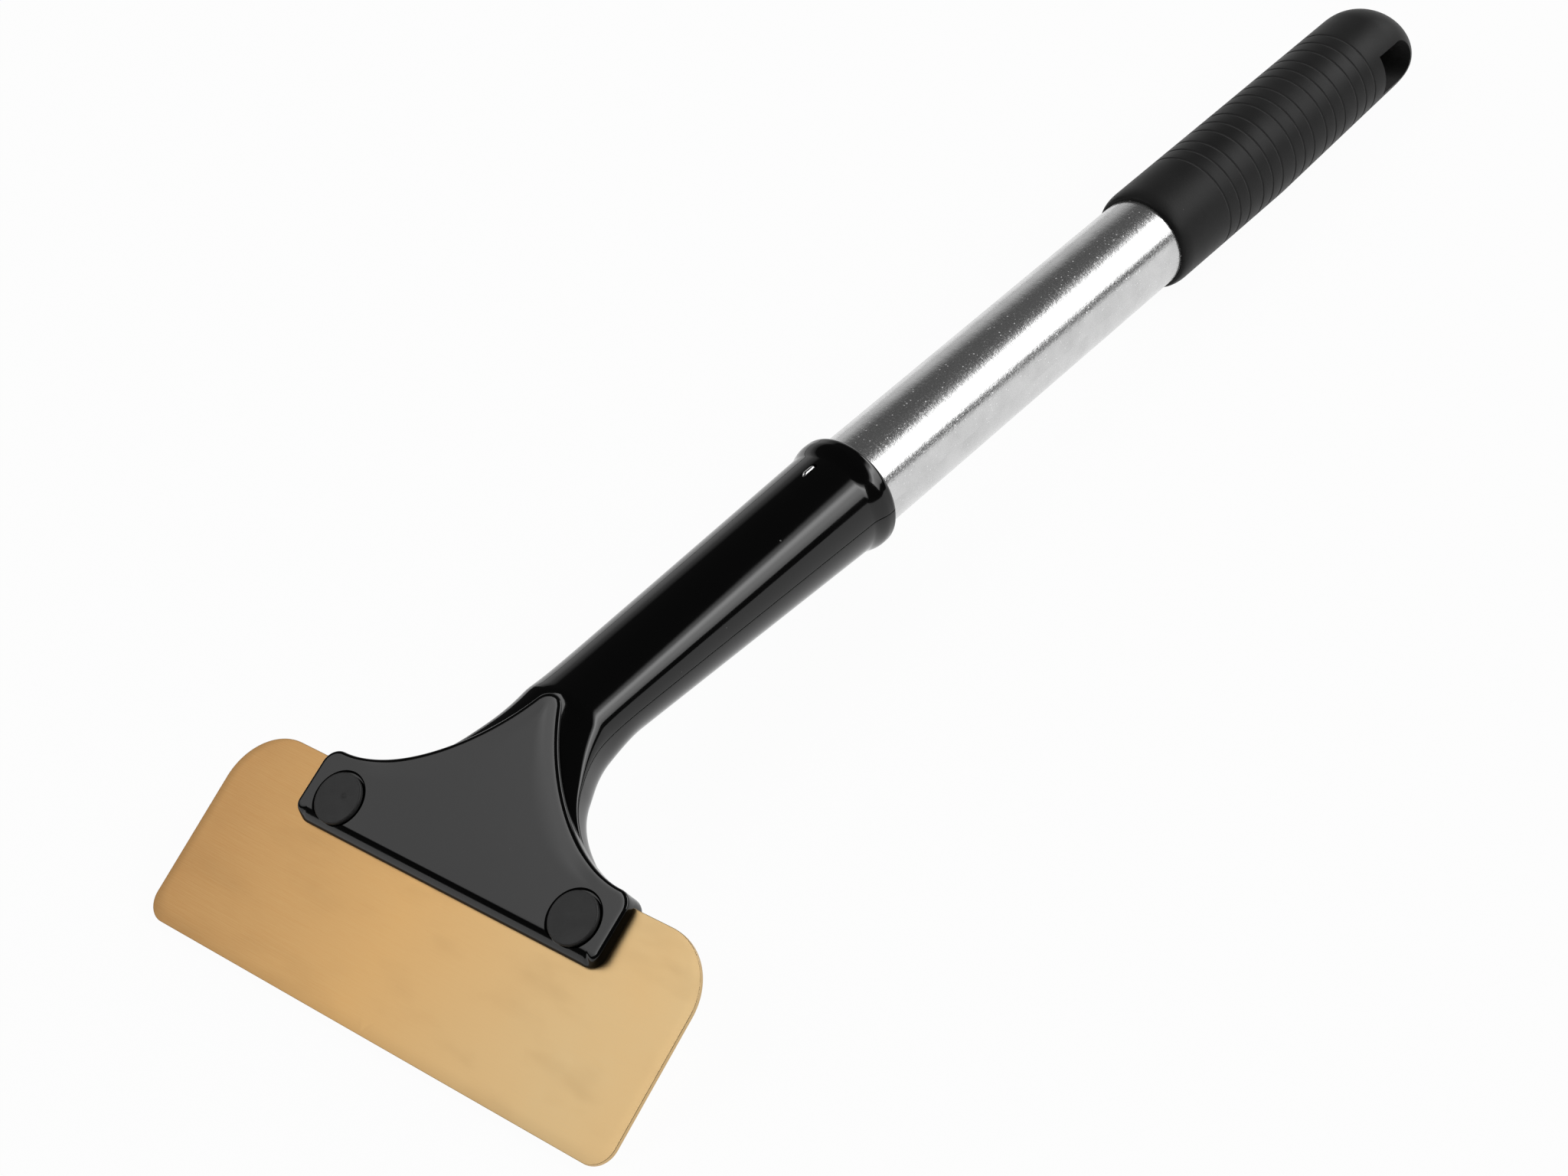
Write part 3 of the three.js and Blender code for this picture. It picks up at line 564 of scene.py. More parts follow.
def rear_jaw():
    """A slab with round corners behind the blade: a wall, a quarter circle over to its flat back, the back,
    and the face towards the blade."""
    half, radius, rounding = JAW_WIDTH / 2 - REAR_JAW_INSET, REAR_JAW_RADIUS, REAR_JAW_ROUNDING
    outline, out = chain(
        straight((-half + radius, JAW_BOTTOM), (half - radius, JAW_BOTTOM), (0, -1), 40),
        arc(half - radius, JAW_BOTTOM + radius, radius, -np.pi / 2, 0, 14),
        straight((half, JAW_BOTTOM + radius), (half, JAW_TOP - radius), (1, 0), 8),
        arc(half - radius, JAW_TOP - radius, radius, 0, np.pi / 2, 14),
        straight((half - radius, JAW_TOP), (-half + radius, JAW_TOP), (0, 1), 40),
        arc(-half + radius, JAW_TOP - radius, radius, np.pi / 2, np.pi, 14),
        straight((-half, JAW_TOP - radius), (-half, JAW_BOTTOM + radius), (-1, 0), 8),
        arc(-half + radius, JAW_BOTTOM + radius, radius, np.pi, np.pi * 1.5, 14),
    )
    turn = np.linspace(0, np.pi / 2, 10)[:, None]
    round_off = outline[None] - rounding * (1 - np.cos(turn))[..., None] * out[None]
    curve = stack(round_off[..., 0], round_off[..., 1], rounding * (1 - np.sin(turn)) - REAR_JAW_DEPTH)
    foot = stack(outline[:, 0], outline[:, 1], slot_edge(outline[:, 1], -1))
    wall = mix(foot[None], curve[0][None], np.linspace(0, 1, 4)[:, None, None])
    hold = curve[-1, :, :2] - REAR_EDGE_HOLD * out
    flat = mix(np.array((0, PLATE_MIDDLE)), hold[None], np.linspace(0, 1, 6)[:, None, None])
    flat = np.concatenate((flat, curve[-1:, :, :2]))
    back = stack(flat[..., 0], flat[..., 1], -REAR_JAW_DEPTH)
    middle = np.array((0, PLATE_MIDDLE, -SLOT_FACE))
    under = mix(middle, foot[None], np.linspace(0, 1, 3)[:, None, None])
    return sheet("rear_jaw", [(wall, None), (curve, None), (back, None), (under, None)])


def turned(profile, sides, x):
    """A round solid on a screw's line: radius and height pairs carried round it."""
    radius, height = np.array(profile, float).T[..., None]
    angle = np.linspace(0, 2 * np.pi, sides + 1)[None]
    return stack(x + radius * np.cos(angle), SCREW_Y + radius * np.sin(angle), height + 0 * angle)


def screw_room(x):
    """The hole for a screw, its wider seat and the shallow round recess for its cap, which opens as a cone
    that follows the tilt of the plate."""
    low = plate_face(SCREW_Y) - CAP_CHAMFER
    bore = [
        (0, -CUT_REACH), (SCREW_ROOM, -CUT_REACH), (SCREW_ROOM, SCREW_SEAT),
        (CAP_SKIRT_ROOM, SCREW_SEAT), (CAP_SKIRT_ROOM, CAP_FLOOR), (CAP_ROOM, CAP_FLOOR),
    ]
    cone = [(CAP_ROOM, low), (CAP_ROOM + CAP_CONE, low + CAP_CONE), (0, low + CAP_CONE)]
    points = turned(bore + cone, CAP_SIDES, x)
    points[len(bore):, :, 2] -= (points[len(bore):, :, 1] - SCREW_Y) * np.tan(PLATE_TILT)
    return sheet("screw_room", [(points, None)])


def nut_room(x):
    """The six-sided pocket for a nut, open at the back."""
    profile = [(0, -CUT_REACH), (NUT_ROOM, -CUT_REACH), (NUT_ROOM, NUT_FRONT), (0, NUT_FRONT)]
    return sheet("nut_room", [(turned(profile, 6, x), None)])


# Handle

MOUTH_Y, MOUTH_Z, _ = head_path(np.array(along_neck(NECK_LENGTH)))


def on_handle(x, along, out):
    """A place by the tube's axis: across it, along it from the collar's mouth, and out towards the front."""
    y = MOUTH_Y + along * np.cos(TUBE_ANGLE) + out * np.sin(TUBE_ANGLE)
    z = MOUTH_Z - along * np.sin(TUBE_ANGLE) + out * np.cos(TUBE_ANGLE)
    return stack(x, y, z)


def staple_height():
    """How far the neck's front stands from the tube's axis where the staple is."""
    length = along_neck(NECK_LENGTH - STAPLE_BELOW_MOUTH)
    y, z, lean = head_path(np.array(length))
    front = neck_size(NECK_BASE_FRONT, NECK_LENGTH - STAPLE_BELOW_MOUTH)
    dy = y + front * np.sin(lean) - MOUTH_Y
    dz = z + front * np.cos(lean) - MOUTH_Z
    return dz * np.cos(TUBE_ANGLE) + dy * np.sin(TUBE_ANGLE)


def staple():
    """A round wire carried up a leg, round a quarter circle, along the crown and down the other leg."""
    radius, bend = STAPLE_WIRE / 2, STAPLE_BEND
    outer = staple_height() + STAPLE_PROUD - radius
    reach = STAPLE_LENGTH / 2 - radius
    inner = outer + radius - STAPLE_LEG
    line, out = chain(
        straight((reach, inner), (reach, outer - bend), (1, 0), 8),
        arc(reach - bend, outer - bend, bend, 0, np.pi / 2, 10),
        straight((reach - bend, outer), (-reach + bend, outer), (0, 1), 8),
        arc(-reach + bend, outer - bend, bend, np.pi / 2, np.pi, 10),
        straight((-reach, outer - bend), (-reach, inner), (-1, 0), 8),
    )
    swell = np.concatenate(([0.0], np.ones(len(line)), [0.0]))[:, None]
    line, out = line[[0, *range(len(line)), -1]], out[[0, *range(len(out)), -1]]
    angle = np.linspace(0, 2 * np.pi, WIRE_SIDES + 1)[None]
    side = swell * radius * np.cos(angle)
    wide = swell * radius * np.sin(angle)
    along = line[:, :1] + wide * out[:, :1] - STAPLE_BELOW_MOUTH
    return sheet("neck_staple", [(on_handle(side, along, line[:, 1:] + wide * out[:, 1:]), None)])


def staple_room():
    """A slot with round ends a little wider than the staple, from inside the neck to outside it."""
    radius = STAPLE_WIRE / 2 + STAPLE_ROOM
    reach = STAPLE_LENGTH / 2 - STAPLE_WIRE / 2
    angle = np.linspace(0, 2 * np.pi, SLOT_SIDES + 1)
    across = radius * np.sin(angle)
    along = radius * np.cos(angle) + reach * np.sign(np.round(np.cos(angle), 9))
    rows = np.array((0.0, 1.0, 1.0, 0.0))[:, None]
    low = staple_height() - STAPLE_ROOM_DEPTH
    high = low + STAPLE_ROOM_HEIGHT
    out = np.array((low, low, high, high))[:, None]
    points = on_handle(rows * across[None], rows * along[None] - STAPLE_BELOW_MOUTH, out)
    return sheet("staple_room", [(points, None)])


def tube():
    """A wall turned round the axis: narrow tail, cone, straight tube, and the same inside."""
    outside = [(TUBE_TAIL_RADIUS, TUBE_TAIL), (TUBE_TAIL_RADIUS, TUBE_SWAGE)]
    outside += [(TUBE_RADIUS, along) for along in np.linspace(TUBE_SHOULDER, TUBE_TOP, 40)]
    inside = [(radius - TUBE_WALL, along) for radius, along in outside[::-1]]
    radius, along = np.array(outside + inside + outside[:1]).T[..., None]
    angle = np.linspace(0, 2 * np.pi, HANDLE_SIDES + 1)[None]
    flat = np.stack(np.broadcast_arrays(angle * TUBE_RADIUS, along), -1)
    wall = on_handle(radius * np.cos(angle), along, radius * np.sin(angle))
    return sheet("steel_tube", [(wall, flat)])


def grip_stations():
    """Places of the grip's rings: close together in the mouth, in each groove and over the end."""
    mouth = GRIP_MOUTH + GRIP_MOUTH_LENGTH * (1 - np.cos(np.linspace(0, np.pi / 2, 12)))
    dome = GRIP_END - GRIP_DOME_LENGTH * (1 - np.sin(np.linspace(0, np.pi / 2, 40)))
    spread = np.linspace(-GROOVE_SPREAD, GROOVE_SPREAD, GROOVE_RINGS)
    grooves = grip_grooves()[:, None] + spread[None] * GROOVE_WIDTH
    plain = np.linspace(mouth[-1], dome[0], 60)
    clear = np.abs(plain[:, None] - grip_grooves()[None]).min(1) > GROOVE_CLEAR * GROOVE_WIDTH
    return np.unique(np.concatenate((mouth, plain[clear], grooves.ravel(), dome)).round(6))


def grip_grooves():
    """Places of the grooves, in groups of three."""
    group, groove = np.meshgrid(np.arange(GROOVE_GROUPS), np.arange(GROOVES_IN_GROUP), indexing="ij")
    return (GRIP_MOUTH + GROOVE_START + group * GROOVE_GROUP_PITCH + groove * GROOVE_PITCH).ravel()


def grip():
    """Ovals along the tube's axis: the back falls away past the tube's end, powers of the distance round the
    end over, raised cosines sink the grooves, a quarter ellipse rounds the mouth. Inside is the tube's
    socket. The flat map holds the way round and the distance from the nearest groove."""
    along = grip_stations()[:, None]
    taper = np.clip((along - TUBE_TOP) / (GRIP_END - TUBE_TOP), 0, 1)
    dome = np.clip((along - GRIP_END + GRIP_DOME_LENGTH) / GRIP_DOME_LENGTH, 0, 1)
    rear_end, front_end, side_end = (
        np.sqrt(1 - dome ** sharpness)
        for sharpness in (GRIP_REAR_SHARPNESS, GRIP_FRONT_SHARPNESS, GRIP_SIDE_SHARPNESS)
    )
    rear = mix(GRIP_TIP_DROP, mix(GRIP_RADIUS, GRIP_END_REAR, taper), rear_end)
    front = mix(-GRIP_TIP_DROP, GRIP_RADIUS, front_end)
    half = mix(GRIP_RADIUS, GRIP_END_HALF_WIDTH, taper) * side_end
    gap = np.abs(along - grip_grooves()[None]).min(1, keepdims=True)
    near = (gap / (GROOVE_WIDTH / 2)).clip(0, 1)
    into = np.clip((along - GRIP_MOUTH) / GRIP_MOUTH_LENGTH, 0, 1)
    inset = GROOVE_DEPTH * (1 + np.cos(np.pi * near)) / 2
    inset = inset + GRIP_MOUTH_HEIGHT * (1 - np.sqrt(1 - (1 - into) ** 2))
    angle = np.linspace(0, 2 * np.pi, HANDLE_SIDES + 1)[None]
    x = (half - inset * side_end) * np.cos(angle)
    out = (front - rear) / 2 + ((front + rear) / 2 - inset * side_end) * np.sin(angle)
    outer = on_handle(x, along, out)
    depth = np.array((GRIP_MOUTH, GRIP_SOCKET_END, GRIP_SOCKET_END))[:, None]
    bore = np.array((GRIP_BORE, GRIP_BORE, 0))[:, None]
    socket = on_handle(bore * np.cos(angle), depth, bore * np.sin(angle))
    flat = np.stack(np.broadcast_arrays(angle * GRIP_RADIUS, gap), -1)
    clear = np.full((3, angle.size, 2), GROOVE_FAR)
    lip = np.stack((outer[0], socket[0]))
    return sheet("rubber_grip", [(outer, flat), (lip, clear[:2]), (socket, clear)])


def hang_room():
    """A bar across the grip whose section is flat towards the tube and a half circle towards the end."""
    radius = HANG_HOLE_WIDTH / 2
    outline, _ = chain(
        straight((HANG_HOLE_FLAT, radius), (HANG_HOLE_FLAT, -radius), (-1, 0), 2),
        straight((HANG_HOLE_FLAT, -radius), (HANG_HOLE_END - radius, -radius), (0, -1), 2),
        arc(HANG_HOLE_END - radius, 0, radius, -np.pi / 2, np.pi / 2, 40),
        straight((HANG_HOLE_END - radius, radius), (HANG_HOLE_FLAT, radius), (0, 1), 2),
    )
    middle = np.array(((HANG_HOLE_FLAT + HANG_HOLE_END) / 2, 0))
    rows = mix(middle, outline[None], np.array((0.0, 1.0, 1.0, 0.0))[:, None, None])
    x = CUT_REACH * np.array((-1.0, -1.0, 1.0, 1.0))[:, None]
    points = on_handle(x, rows[..., 0], rows[..., 1] + HANG_HOLE_RISE)
    return sheet("hang_room", [(points, None)])


def cap(name, x, nub):
    """A round cap: a faintly domed top, a quarter circle over its edge, a thin skirt round the screw's head,
    and, where nub is 1, a low bump on the top that falls as the power of e of a square."""
    turn = np.linspace(0, np.pi / 2, 8)
    flat = CAP_RADIUS - CAP_EDGE
    across = np.linspace(0, flat, 24)
    top = [(r, CAP_TOP - CAP_DOME * (r / flat) ** 2) for r in across]
    low = CAP_TOP - CAP_DOME - CAP_EDGE
    edge = [(flat + CAP_EDGE * np.sin(t), low + CAP_EDGE * np.cos(t)) for t in turn[1:]]
    inside = [
        (CAP_RADIUS, CAP_BOTTOM), (CAP_SKIRT_OUTSIDE, CAP_BOTTOM), (CAP_SKIRT_OUTSIDE, CAP_SKIRT_END),
        (CAP_SKIRT_INSIDE, CAP_SKIRT_END), (CAP_SKIRT_INSIDE, CAP_INSIDE), (0, CAP_INSIDE),
    ]
    points = turned(top + edge + inside, CAP_SIDES, x)
    right, up = CAP_NUB_PLACE
    away = (points[..., 0] - x - right) ** 2 + (points[..., 1] - SCREW_Y - up) ** 2
    on_top = np.arange(len(points))[:, None] < len(across)
    points[..., 2] += nub * on_top * CAP_NUB_HEIGHT * np.exp(-away / CAP_NUB_WIDTH ** 2)
    return sheet(name, [(points, None)])


# Finishes: colours in linear light, roughness from low to high, and bump as its strength and metres
# Brass at the left, middle and right: painted shade at the left and painted light at the right across the
# sheet
BRASS_LEFT_SHADED = (0.47, 0.245, 0.09, 1)
BRASS_MIDDLE = (0.62, 0.37, 0.148, 1)
BRASS_RIGHT_LIT = (0.585, 0.425, 0.223, 1)
BRASS_PLACES = (-60.0, -6.0, 45.0)
BRASS_WARM = (0.62, 0.36, 0.14, 1)
BRASS_STAIN = (0.45, 0.23, 0.085, 1)
BRASS_LINE = (0.66, 0.45, 0.21, 1)
BRASS_MARK = (0.3, 0.16, 0.06, 1)
BRASS_ROUGH = (0.39, 0.43)
BRASS_BUMP = (0.12, 0.00003)
PLASTIC_IOR = 1.45
HEAD_BLACK = 0.0016
HEAD_DUST = 0.25
HEAD_ROUGH = (0.07, 0.11)
HEAD_BUMP = (0.03, 0.0002)
CAP_DARK = 0.026
CAP_PALE = 0.038
CAP_ROUGH = (0.5, 0.6)
CAP_BUMP = (0.25, 0.00005)
TUBE_BRIGHT = 0.66
TUBE_DULL = 0.58
TUBE_PIT = 0.25
TUBE_SPARK = 0.95
TUBE_METAL = 0.88
TUBE_ROUGH = (0.12, 0.17)
TUBE_SPECKLE_ROUGH = (0.0, 0.13)
TUBE_SCRATCH_ROUGH = (0.0, 0.06)
TUBE_BUMP = (0.26, 0.0001)
RUBBER_BLACK = 0.014
RUBBER_WORN = 0.02
RUBBER_DUST = 0.12
RUBBER_IOR = 1.22
RUBBER_ROUGH = (0.42, 0.52)
RUBBER_BUMP = (0.3, 0.00006)
# Painted highlight in the grooves: their paler grey, and how far from a groove's middle it fades out
GROOVE_HIGHLIGHT_GREY = 0.055
GROOVE_HIGHLIGHT_EDGES = (0.1, 0.42)
STEEL_BRIGHT = 0.68
STEEL_DULL = 0.5
STEEL_ROUGH = (0.2, 0.34)
STEEL_BUMP = (0.15, 0.00005)


def connect(tree, item, inputs):
    """Gives a node its inputs: a link where one is a socket, and otherwise a value."""
    for key, value in inputs.items():
        if isinstance(value, bpy.types.NodeSocket):
            tree.links.new(value, item.inputs[key])
        else:
            item.inputs[key].default_value = value


def add(tree, kind, inputs=None, **settings):
    """A shader node with its settings and inputs."""
    item = tree.nodes.new(kind)
    for key, value in settings.items():
        setattr(item, key, value)
    connect(tree, item, inputs or {})
    return item


def sums(tree, operation, a, b):
    """One step of arithmetic."""
    return add(tree, "ShaderNodeMath", {0: a, 1: b}, operation=operation).outputs[0]


def scaled(tree, value, share):
    """A value times a number."""
    return sums(tree, "MULTIPLY", value, share)


def remap(tree, value, low, high, to_low=0.0, to_high=1.0):
    """A value from low to high as one from to_low to to_high, held at both ends."""
    inputs = {"Value": value, "From Min": low, "From Max": high, "To Min": to_low, "To Max": to_high}
    return add(tree, "ShaderNodeMapRange", inputs).outputs[0]


def tint(tree, part, a, b):
    """A colour part of the way from a to b."""
    return add(tree, "ShaderNodeMix", {0: part, 6: a, 7: b}, data_type="RGBA").outputs[2]


def noise(tree, vector, scale, detail, roughness=0.5):
    """Smooth noise from 0 to 1."""
    inputs = {"Vector": vector, "Scale": scale, "Detail": detail, "Roughness": roughness}
    return add(tree, "ShaderNodeTexNoise", inputs).outputs[0]


def stretched(tree, vector, scale):
    """A vector times a scale of its own in each direction."""
    return add(tree, "ShaderNodeMapping", {"Vector": vector, "Scale": scale}).outputs[0]


def split(tree, vector):
    """The three numbers of a vector."""
    return add(tree, "ShaderNodeSeparateXYZ", {0: vector}).outputs


def grey(value):
    """A colour with no hue."""
    return (value, value, value, 1.0)


def effect(name, inputs, outputs):
    """An empty node group with its sockets: the tree, its inputs, and what takes its outputs."""
    tree = bpy.data.node_groups.new(name, "ShaderNodeTree")
    for key, value in inputs.items():
        kind = "NodeSocketVector" if value is None else "NodeSocketFloat"
        socket = tree.interface.new_socket(key, in_out="INPUT", socket_type=kind)
        if value is not None:
            socket.default_value = value
    for key in outputs:
        tree.interface.new_socket(key, in_out="OUTPUT", socket_type="NodeSocketFloat")
    return tree, tree.nodes.new("NodeGroupInput").outputs, tree.nodes.new("NodeGroupOutput").inputs


def brushing():
    """Fine parallel scratches: noise drawn out along the first direction of the vector."""
    tree, given, out = effect("brushing", {"Vector": None, "Fineness": 1.0}, ["Lines"])
    inputs = {0: given["Vector"], "Scale": given["Fineness"]}
    sized = add(tree, "ShaderNodeVectorMath", inputs, operation="SCALE").outputs[0]
    fine = noise(tree, stretched(tree, sized, (0.05, 4.2, 1)), 1.0, 4.0, 0.65)
    short = noise(tree, stretched(tree, sized, (0.22, 7.0, 1)), 1.0, 2.0)
    lines = sums(tree, "ADD", scaled(tree, fine, 0.6), scaled(tree, short, 0.4))
    tree.links.new(lines, out["Lines"])
    return tree


def clouds():
    """Soft uneven patches, as from handling."""
    inputs = {"Vector": None, "Scale": 1.0, "Low": 0.35, "High": 0.65}
    tree, given, out = effect("clouds", inputs, ["Patches"])
    patches = noise(tree, given["Vector"], given["Scale"], 4.0, 0.55)
    tree.links.new(remap(tree, patches, given["Low"], given["High"]), out["Patches"])
    return tree


def specks():
    """Sparse small dots: cells of which only a few, picked by a value of their own, hold a dot."""
    inputs = {"Vector": None, "Scale": 1.0, "Size": 0.1, "Share": 0.1}
    tree, given, out = effect("specks", inputs, ["Dots"])
    cells = add(tree, "ShaderNodeTexVoronoi", {"Vector": given["Vector"], "Scale": given["Scale"]})
    pick = add(tree, "ShaderNodeSeparateColor", {0: cells.outputs["Color"]}).outputs
    chosen = sums(tree, "LESS_THAN", pick[0], given["Share"])
    size = sums(tree, "MULTIPLY", given["Size"], sums(tree, "ADD", pick[1], 0.35))
    dot = sums(tree, "LESS_THAN", cells.outputs["Distance"], size)
    tree.links.new(sums(tree, "MULTIPLY", chosen, dot), out["Dots"])
    return tree


def grain():
    """The fine uneven skin of a moulding: two sizes of noise added."""
    tree, given, out = effect("grain", {"Vector": None, "Scale": 1.0}, ["Height"])
    fine = noise(tree, given["Vector"], scaled(tree, given["Scale"], 3.1), 1.0)
    coarse = noise(tree, given["Vector"], given["Scale"], 3.0)
    tree.links.new(sums(tree, "ADD", coarse, scaled(tree, fine, 0.4)), out["Height"])
    return tree


EFFECTS = {make.__name__: make() for make in (brushing, clouds, specks, grain)}


def use(tree, name, **inputs):
    """The outputs of one of the shared effects."""
    item = add(tree, "ShaderNodeGroup", node_tree=EFFECTS[name])
    connect(tree, item, inputs)
    return item.outputs


def blank_finish(name):
    """A material with no nodes, and its tree."""
    finish = bpy.data.materials.new(name)
    finish.use_nodes = True
    finish.node_tree.nodes.clear()
    return finish, finish.node_tree


def new_finish(name):
    """A plain material: its tree, its shader, places on the object in millimetres and its flat map."""
    finish, tree = blank_finish(name)
    shader = tree.nodes.new("ShaderNodeBsdfPrincipled")
    add(tree, "ShaderNodeOutputMaterial", {"Surface": shader.outputs[0]})
    coords = tree.nodes.new("ShaderNodeTexCoord").outputs
    places = stretched(tree, coords["Object"], (1 / MM, 1 / MM, 1 / MM))
    return finish, tree, shader, places, coords["UV"]


def feed(tree, shader, colour, roughness, height, strength, distance):
    """Links a colour, a roughness and the height of a bump to the shader."""
    tree.links.new(colour, shader.inputs["Base Color"])
    tree.links.new(roughness, shader.inputs["Roughness"])
    bump = add(tree, "ShaderNodeBump", {"Strength": strength, "Distance": distance, "Height": height})
    tree.links.new(bump.outputs[0], shader.inputs["Normal"])


def brass_finish():
    """Brushed brass: painted shade and light across the sheet, darker and redder at the left and paler at the
    right; lines along the width, warm patches, faint stains and a few dark marks."""
    finish, tree, shader, _, flat = new_finish("brushed_brass")
    lines = use(tree, "brushing", Vector=flat, Fineness=1.0)["Lines"]
    warm = use(tree, "clouds", Vector=flat, Scale=0.022, Low=0.36, High=0.64)["Patches"]
    drawn = stretched(tree, flat, (0.5, 1.4, 1))
    stains = use(tree, "clouds", Vector=drawn, Scale=0.09, Low=0.5, High=0.72)["Patches"]
    marks = use(tree, "specks", Vector=flat, Scale=0.16, Size=0.035, Share=0.25)["Dots"]
    across = split(tree, flat)[0]
    left, middle, right = BRASS_PLACES
    # Painted light: the sheet is darker and redder at the left and paler towards the right
    colour = tint(tree, remap(tree, across, left, middle), BRASS_LEFT_SHADED, BRASS_MIDDLE)
    colour = tint(tree, remap(tree, across, middle, right), colour, BRASS_RIGHT_LIT)
    colour = tint(tree, scaled(tree, warm, 0.25), colour, BRASS_WARM)
    colour = tint(tree, scaled(tree, stains, 0.06), colour, BRASS_STAIN)
    colour = tint(tree, remap(tree, lines, 0.3, 0.7, 0.0, 0.4), colour, BRASS_LINE)
    colour = tint(tree, scaled(tree, marks, 0.5), colour, BRASS_MARK)
    rough = remap(tree, lines, 0.3, 0.7, *BRASS_ROUGH)
    rough = sums(tree, "ADD", rough, scaled(tree, stains, 0.03))
    shader.inputs["Metallic"].default_value = 1.0
    feed(tree, shader, colour, rough, lines, *BRASS_BUMP)
    return finish


def head_finish():
    """Glossy black moulding with faint handling marks and a little dust."""
    finish, tree, shader, places, _ = new_finish("gloss_black")
    marks = use(tree, "clouds", Vector=places, Scale=0.07, Low=0.4, High=0.7)["Patches"]
    dust = use(tree, "specks", Vector=places, Scale=0.28, Size=0.05, Share=0.14)["Dots"]
    wavy = use(tree, "grain", Vector=places, Scale=0.16)["Height"]
    colour = tint(tree, scaled(tree, dust, 0.35), grey(HEAD_BLACK), grey(HEAD_DUST))
    rough = sums(tree, "ADD", remap(tree, marks, 0, 1, *HEAD_ROUGH), scaled(tree, dust, 0.4))
    shader.inputs["IOR"].default_value = PLASTIC_IOR
    feed(tree, shader, colour, rough, wavy, *HEAD_BUMP)
    return finish


def cap_finish():
    """Matt dark caps with a fine skin."""
    finish, tree, shader, places, _ = new_finish("matt_cap")
    skin = use(tree, "grain", Vector=places, Scale=2.2)["Height"]
    marks = use(tree, "clouds", Vector=places, Scale=0.35, Low=0.35, High=0.7)["Patches"]
    colour = tint(tree, marks, grey(CAP_DARK), grey(CAP_PALE))
    shader.inputs["IOR"].default_value = PLASTIC_IOR
    feed(tree, shader, colour, remap(tree, marks, 0, 1, *CAP_ROUGH), skin, *CAP_BUMP)
    return finish


def tube_finish():
    """Bright plated tube, slightly dull: a pebbly skin, ripples, pits, bright sparks, rough speckles and fine
    scratches along it."""
    finish, tree, shader, _, flat = new_finish("plated_steel")
    pebble = use(tree, "grain", Vector=flat, Scale=1.2)["Height"]
    fine = use(tree, "grain", Vector=flat, Scale=4.5)["Height"]
    inputs = {"Vector": flat, "Angle": np.pi / 2}
    crosswise = add(tree, "ShaderNodeVectorRotate", inputs, rotation_type="Z_AXIS").outputs[0]
    scratches = use(tree, "brushing", Vector=crosswise, Fineness=0.6)["Lines"]
    ripple = noise(tree, stretched(tree, flat, (0.05, 0.45, 1)), 1.0, 3.0, 0.6)
    pits = use(tree, "specks", Vector=flat, Scale=0.3, Size=0.09, Share=0.3)["Dots"]
    sparks = use(tree, "specks", Vector=flat, Scale=1.5, Size=0.24, Share=0.22)["Dots"]
    clouded = use(tree, "clouds", Vector=flat, Scale=0.12, Low=0.4, High=0.68)["Patches"]
    speckle = noise(tree, flat, 2.2, 3.0, 0.6)
    colour = tint(tree, clouded, grey(TUBE_BRIGHT), grey(TUBE_DULL))
    colour = tint(tree, scaled(tree, pits, 0.45), colour, grey(TUBE_PIT))
    colour = tint(tree, scaled(tree, sparks, 0.6), colour, grey(TUBE_SPARK))
    rough = sums(tree, "ADD", remap(tree, clouded, 0, 1, *TUBE_ROUGH), scaled(tree, sparks, 0.36))
    rough = sums(tree, "ADD", rough, remap(tree, speckle, 0.48, 0.66, *TUBE_SPECKLE_ROUGH))
    rough = sums(tree, "ADD", rough, remap(tree, scratches, 0.35, 0.7, *TUBE_SCRATCH_ROUGH))
    height = sums(tree, "ADD", pebble, scaled(tree, fine, 0.35))
    height = sums(tree, "ADD", height, scaled(tree, ripple, 1.2))
    height = sums(tree, "SUBTRACT", height, scaled(tree, pits, 0.6))
    shader.inputs["Metallic"].default_value = TUBE_METAL
    feed(tree, shader, colour, rough, height, *TUBE_BUMP)
    return finish


def rubber_finish():
    """Matt rubber: a fine skin, worn grey patches, grooves coloured paler as a painted highlight, and a soft
    broad shine.
    """
    finish, tree, shader, places, flat = new_finish("grip_rubber")
    skin = use(tree, "grain", Vector=places, Scale=2.6)["Height"]
    worn = use(tree, "clouds", Vector=places, Scale=0.05, Low=0.35, High=0.7)["Patches"]
    dust = use(tree, "specks", Vector=places, Scale=0.45, Size=0.06, Share=0.1)["Dots"]
    # Painted highlight: the grooves are coloured paler, standing in for light caught on their walls
    groove = remap(tree, split(tree, flat)[1], *GROOVE_HIGHLIGHT_EDGES, 1.0, 0.0)
    colour = tint(tree, worn, grey(RUBBER_BLACK), grey(RUBBER_WORN))
    colour = tint(tree, groove, colour, grey(GROOVE_HIGHLIGHT_GREY))
    colour = tint(tree, scaled(tree, dust, 0.25), colour, grey(RUBBER_DUST))
    rough = sums(tree, "ADD", remap(tree, worn, 0, 1, *RUBBER_ROUGH), scaled(tree, groove, 0.3))
    shader.inputs["IOR"].default_value = RUBBER_IOR
    feed(tree, shader, colour, rough, skin, *RUBBER_BUMP)
    return finish


def fastener_finish():
    """Plain bright steel, slightly uneven."""
    finish, tree, shader, places, _ = new_finish("fastener_steel")
    dull = use(tree, "clouds", Vector=places, Scale=0.5, Low=0.35, High=0.7)["Patches"]
    skin = use(tree, "grain", Vector=places, Scale=3.0)["Height"]
    colour = tint(tree, dull, grey(STEEL_BRIGHT), grey(STEEL_DULL))
    shader.inputs["Metallic"].default_value = 1.0
    feed(tree, shader, colour, remap(tree, dull, 0, 1, *STEEL_ROUGH), skin, *STEEL_BUMP)
    return finish


# Studio: the floor's reach and depth under the tool in millimetres, its grey, the share of it that shows as
# plain white, and the room's grey
FLOOR_REACH = 8000
FLOOR_DROP = 0.1
FLOOR_GREY = 0.9
FLOOR_WHITE_SHARE = 0.96
ROOM_GREY = 0.045

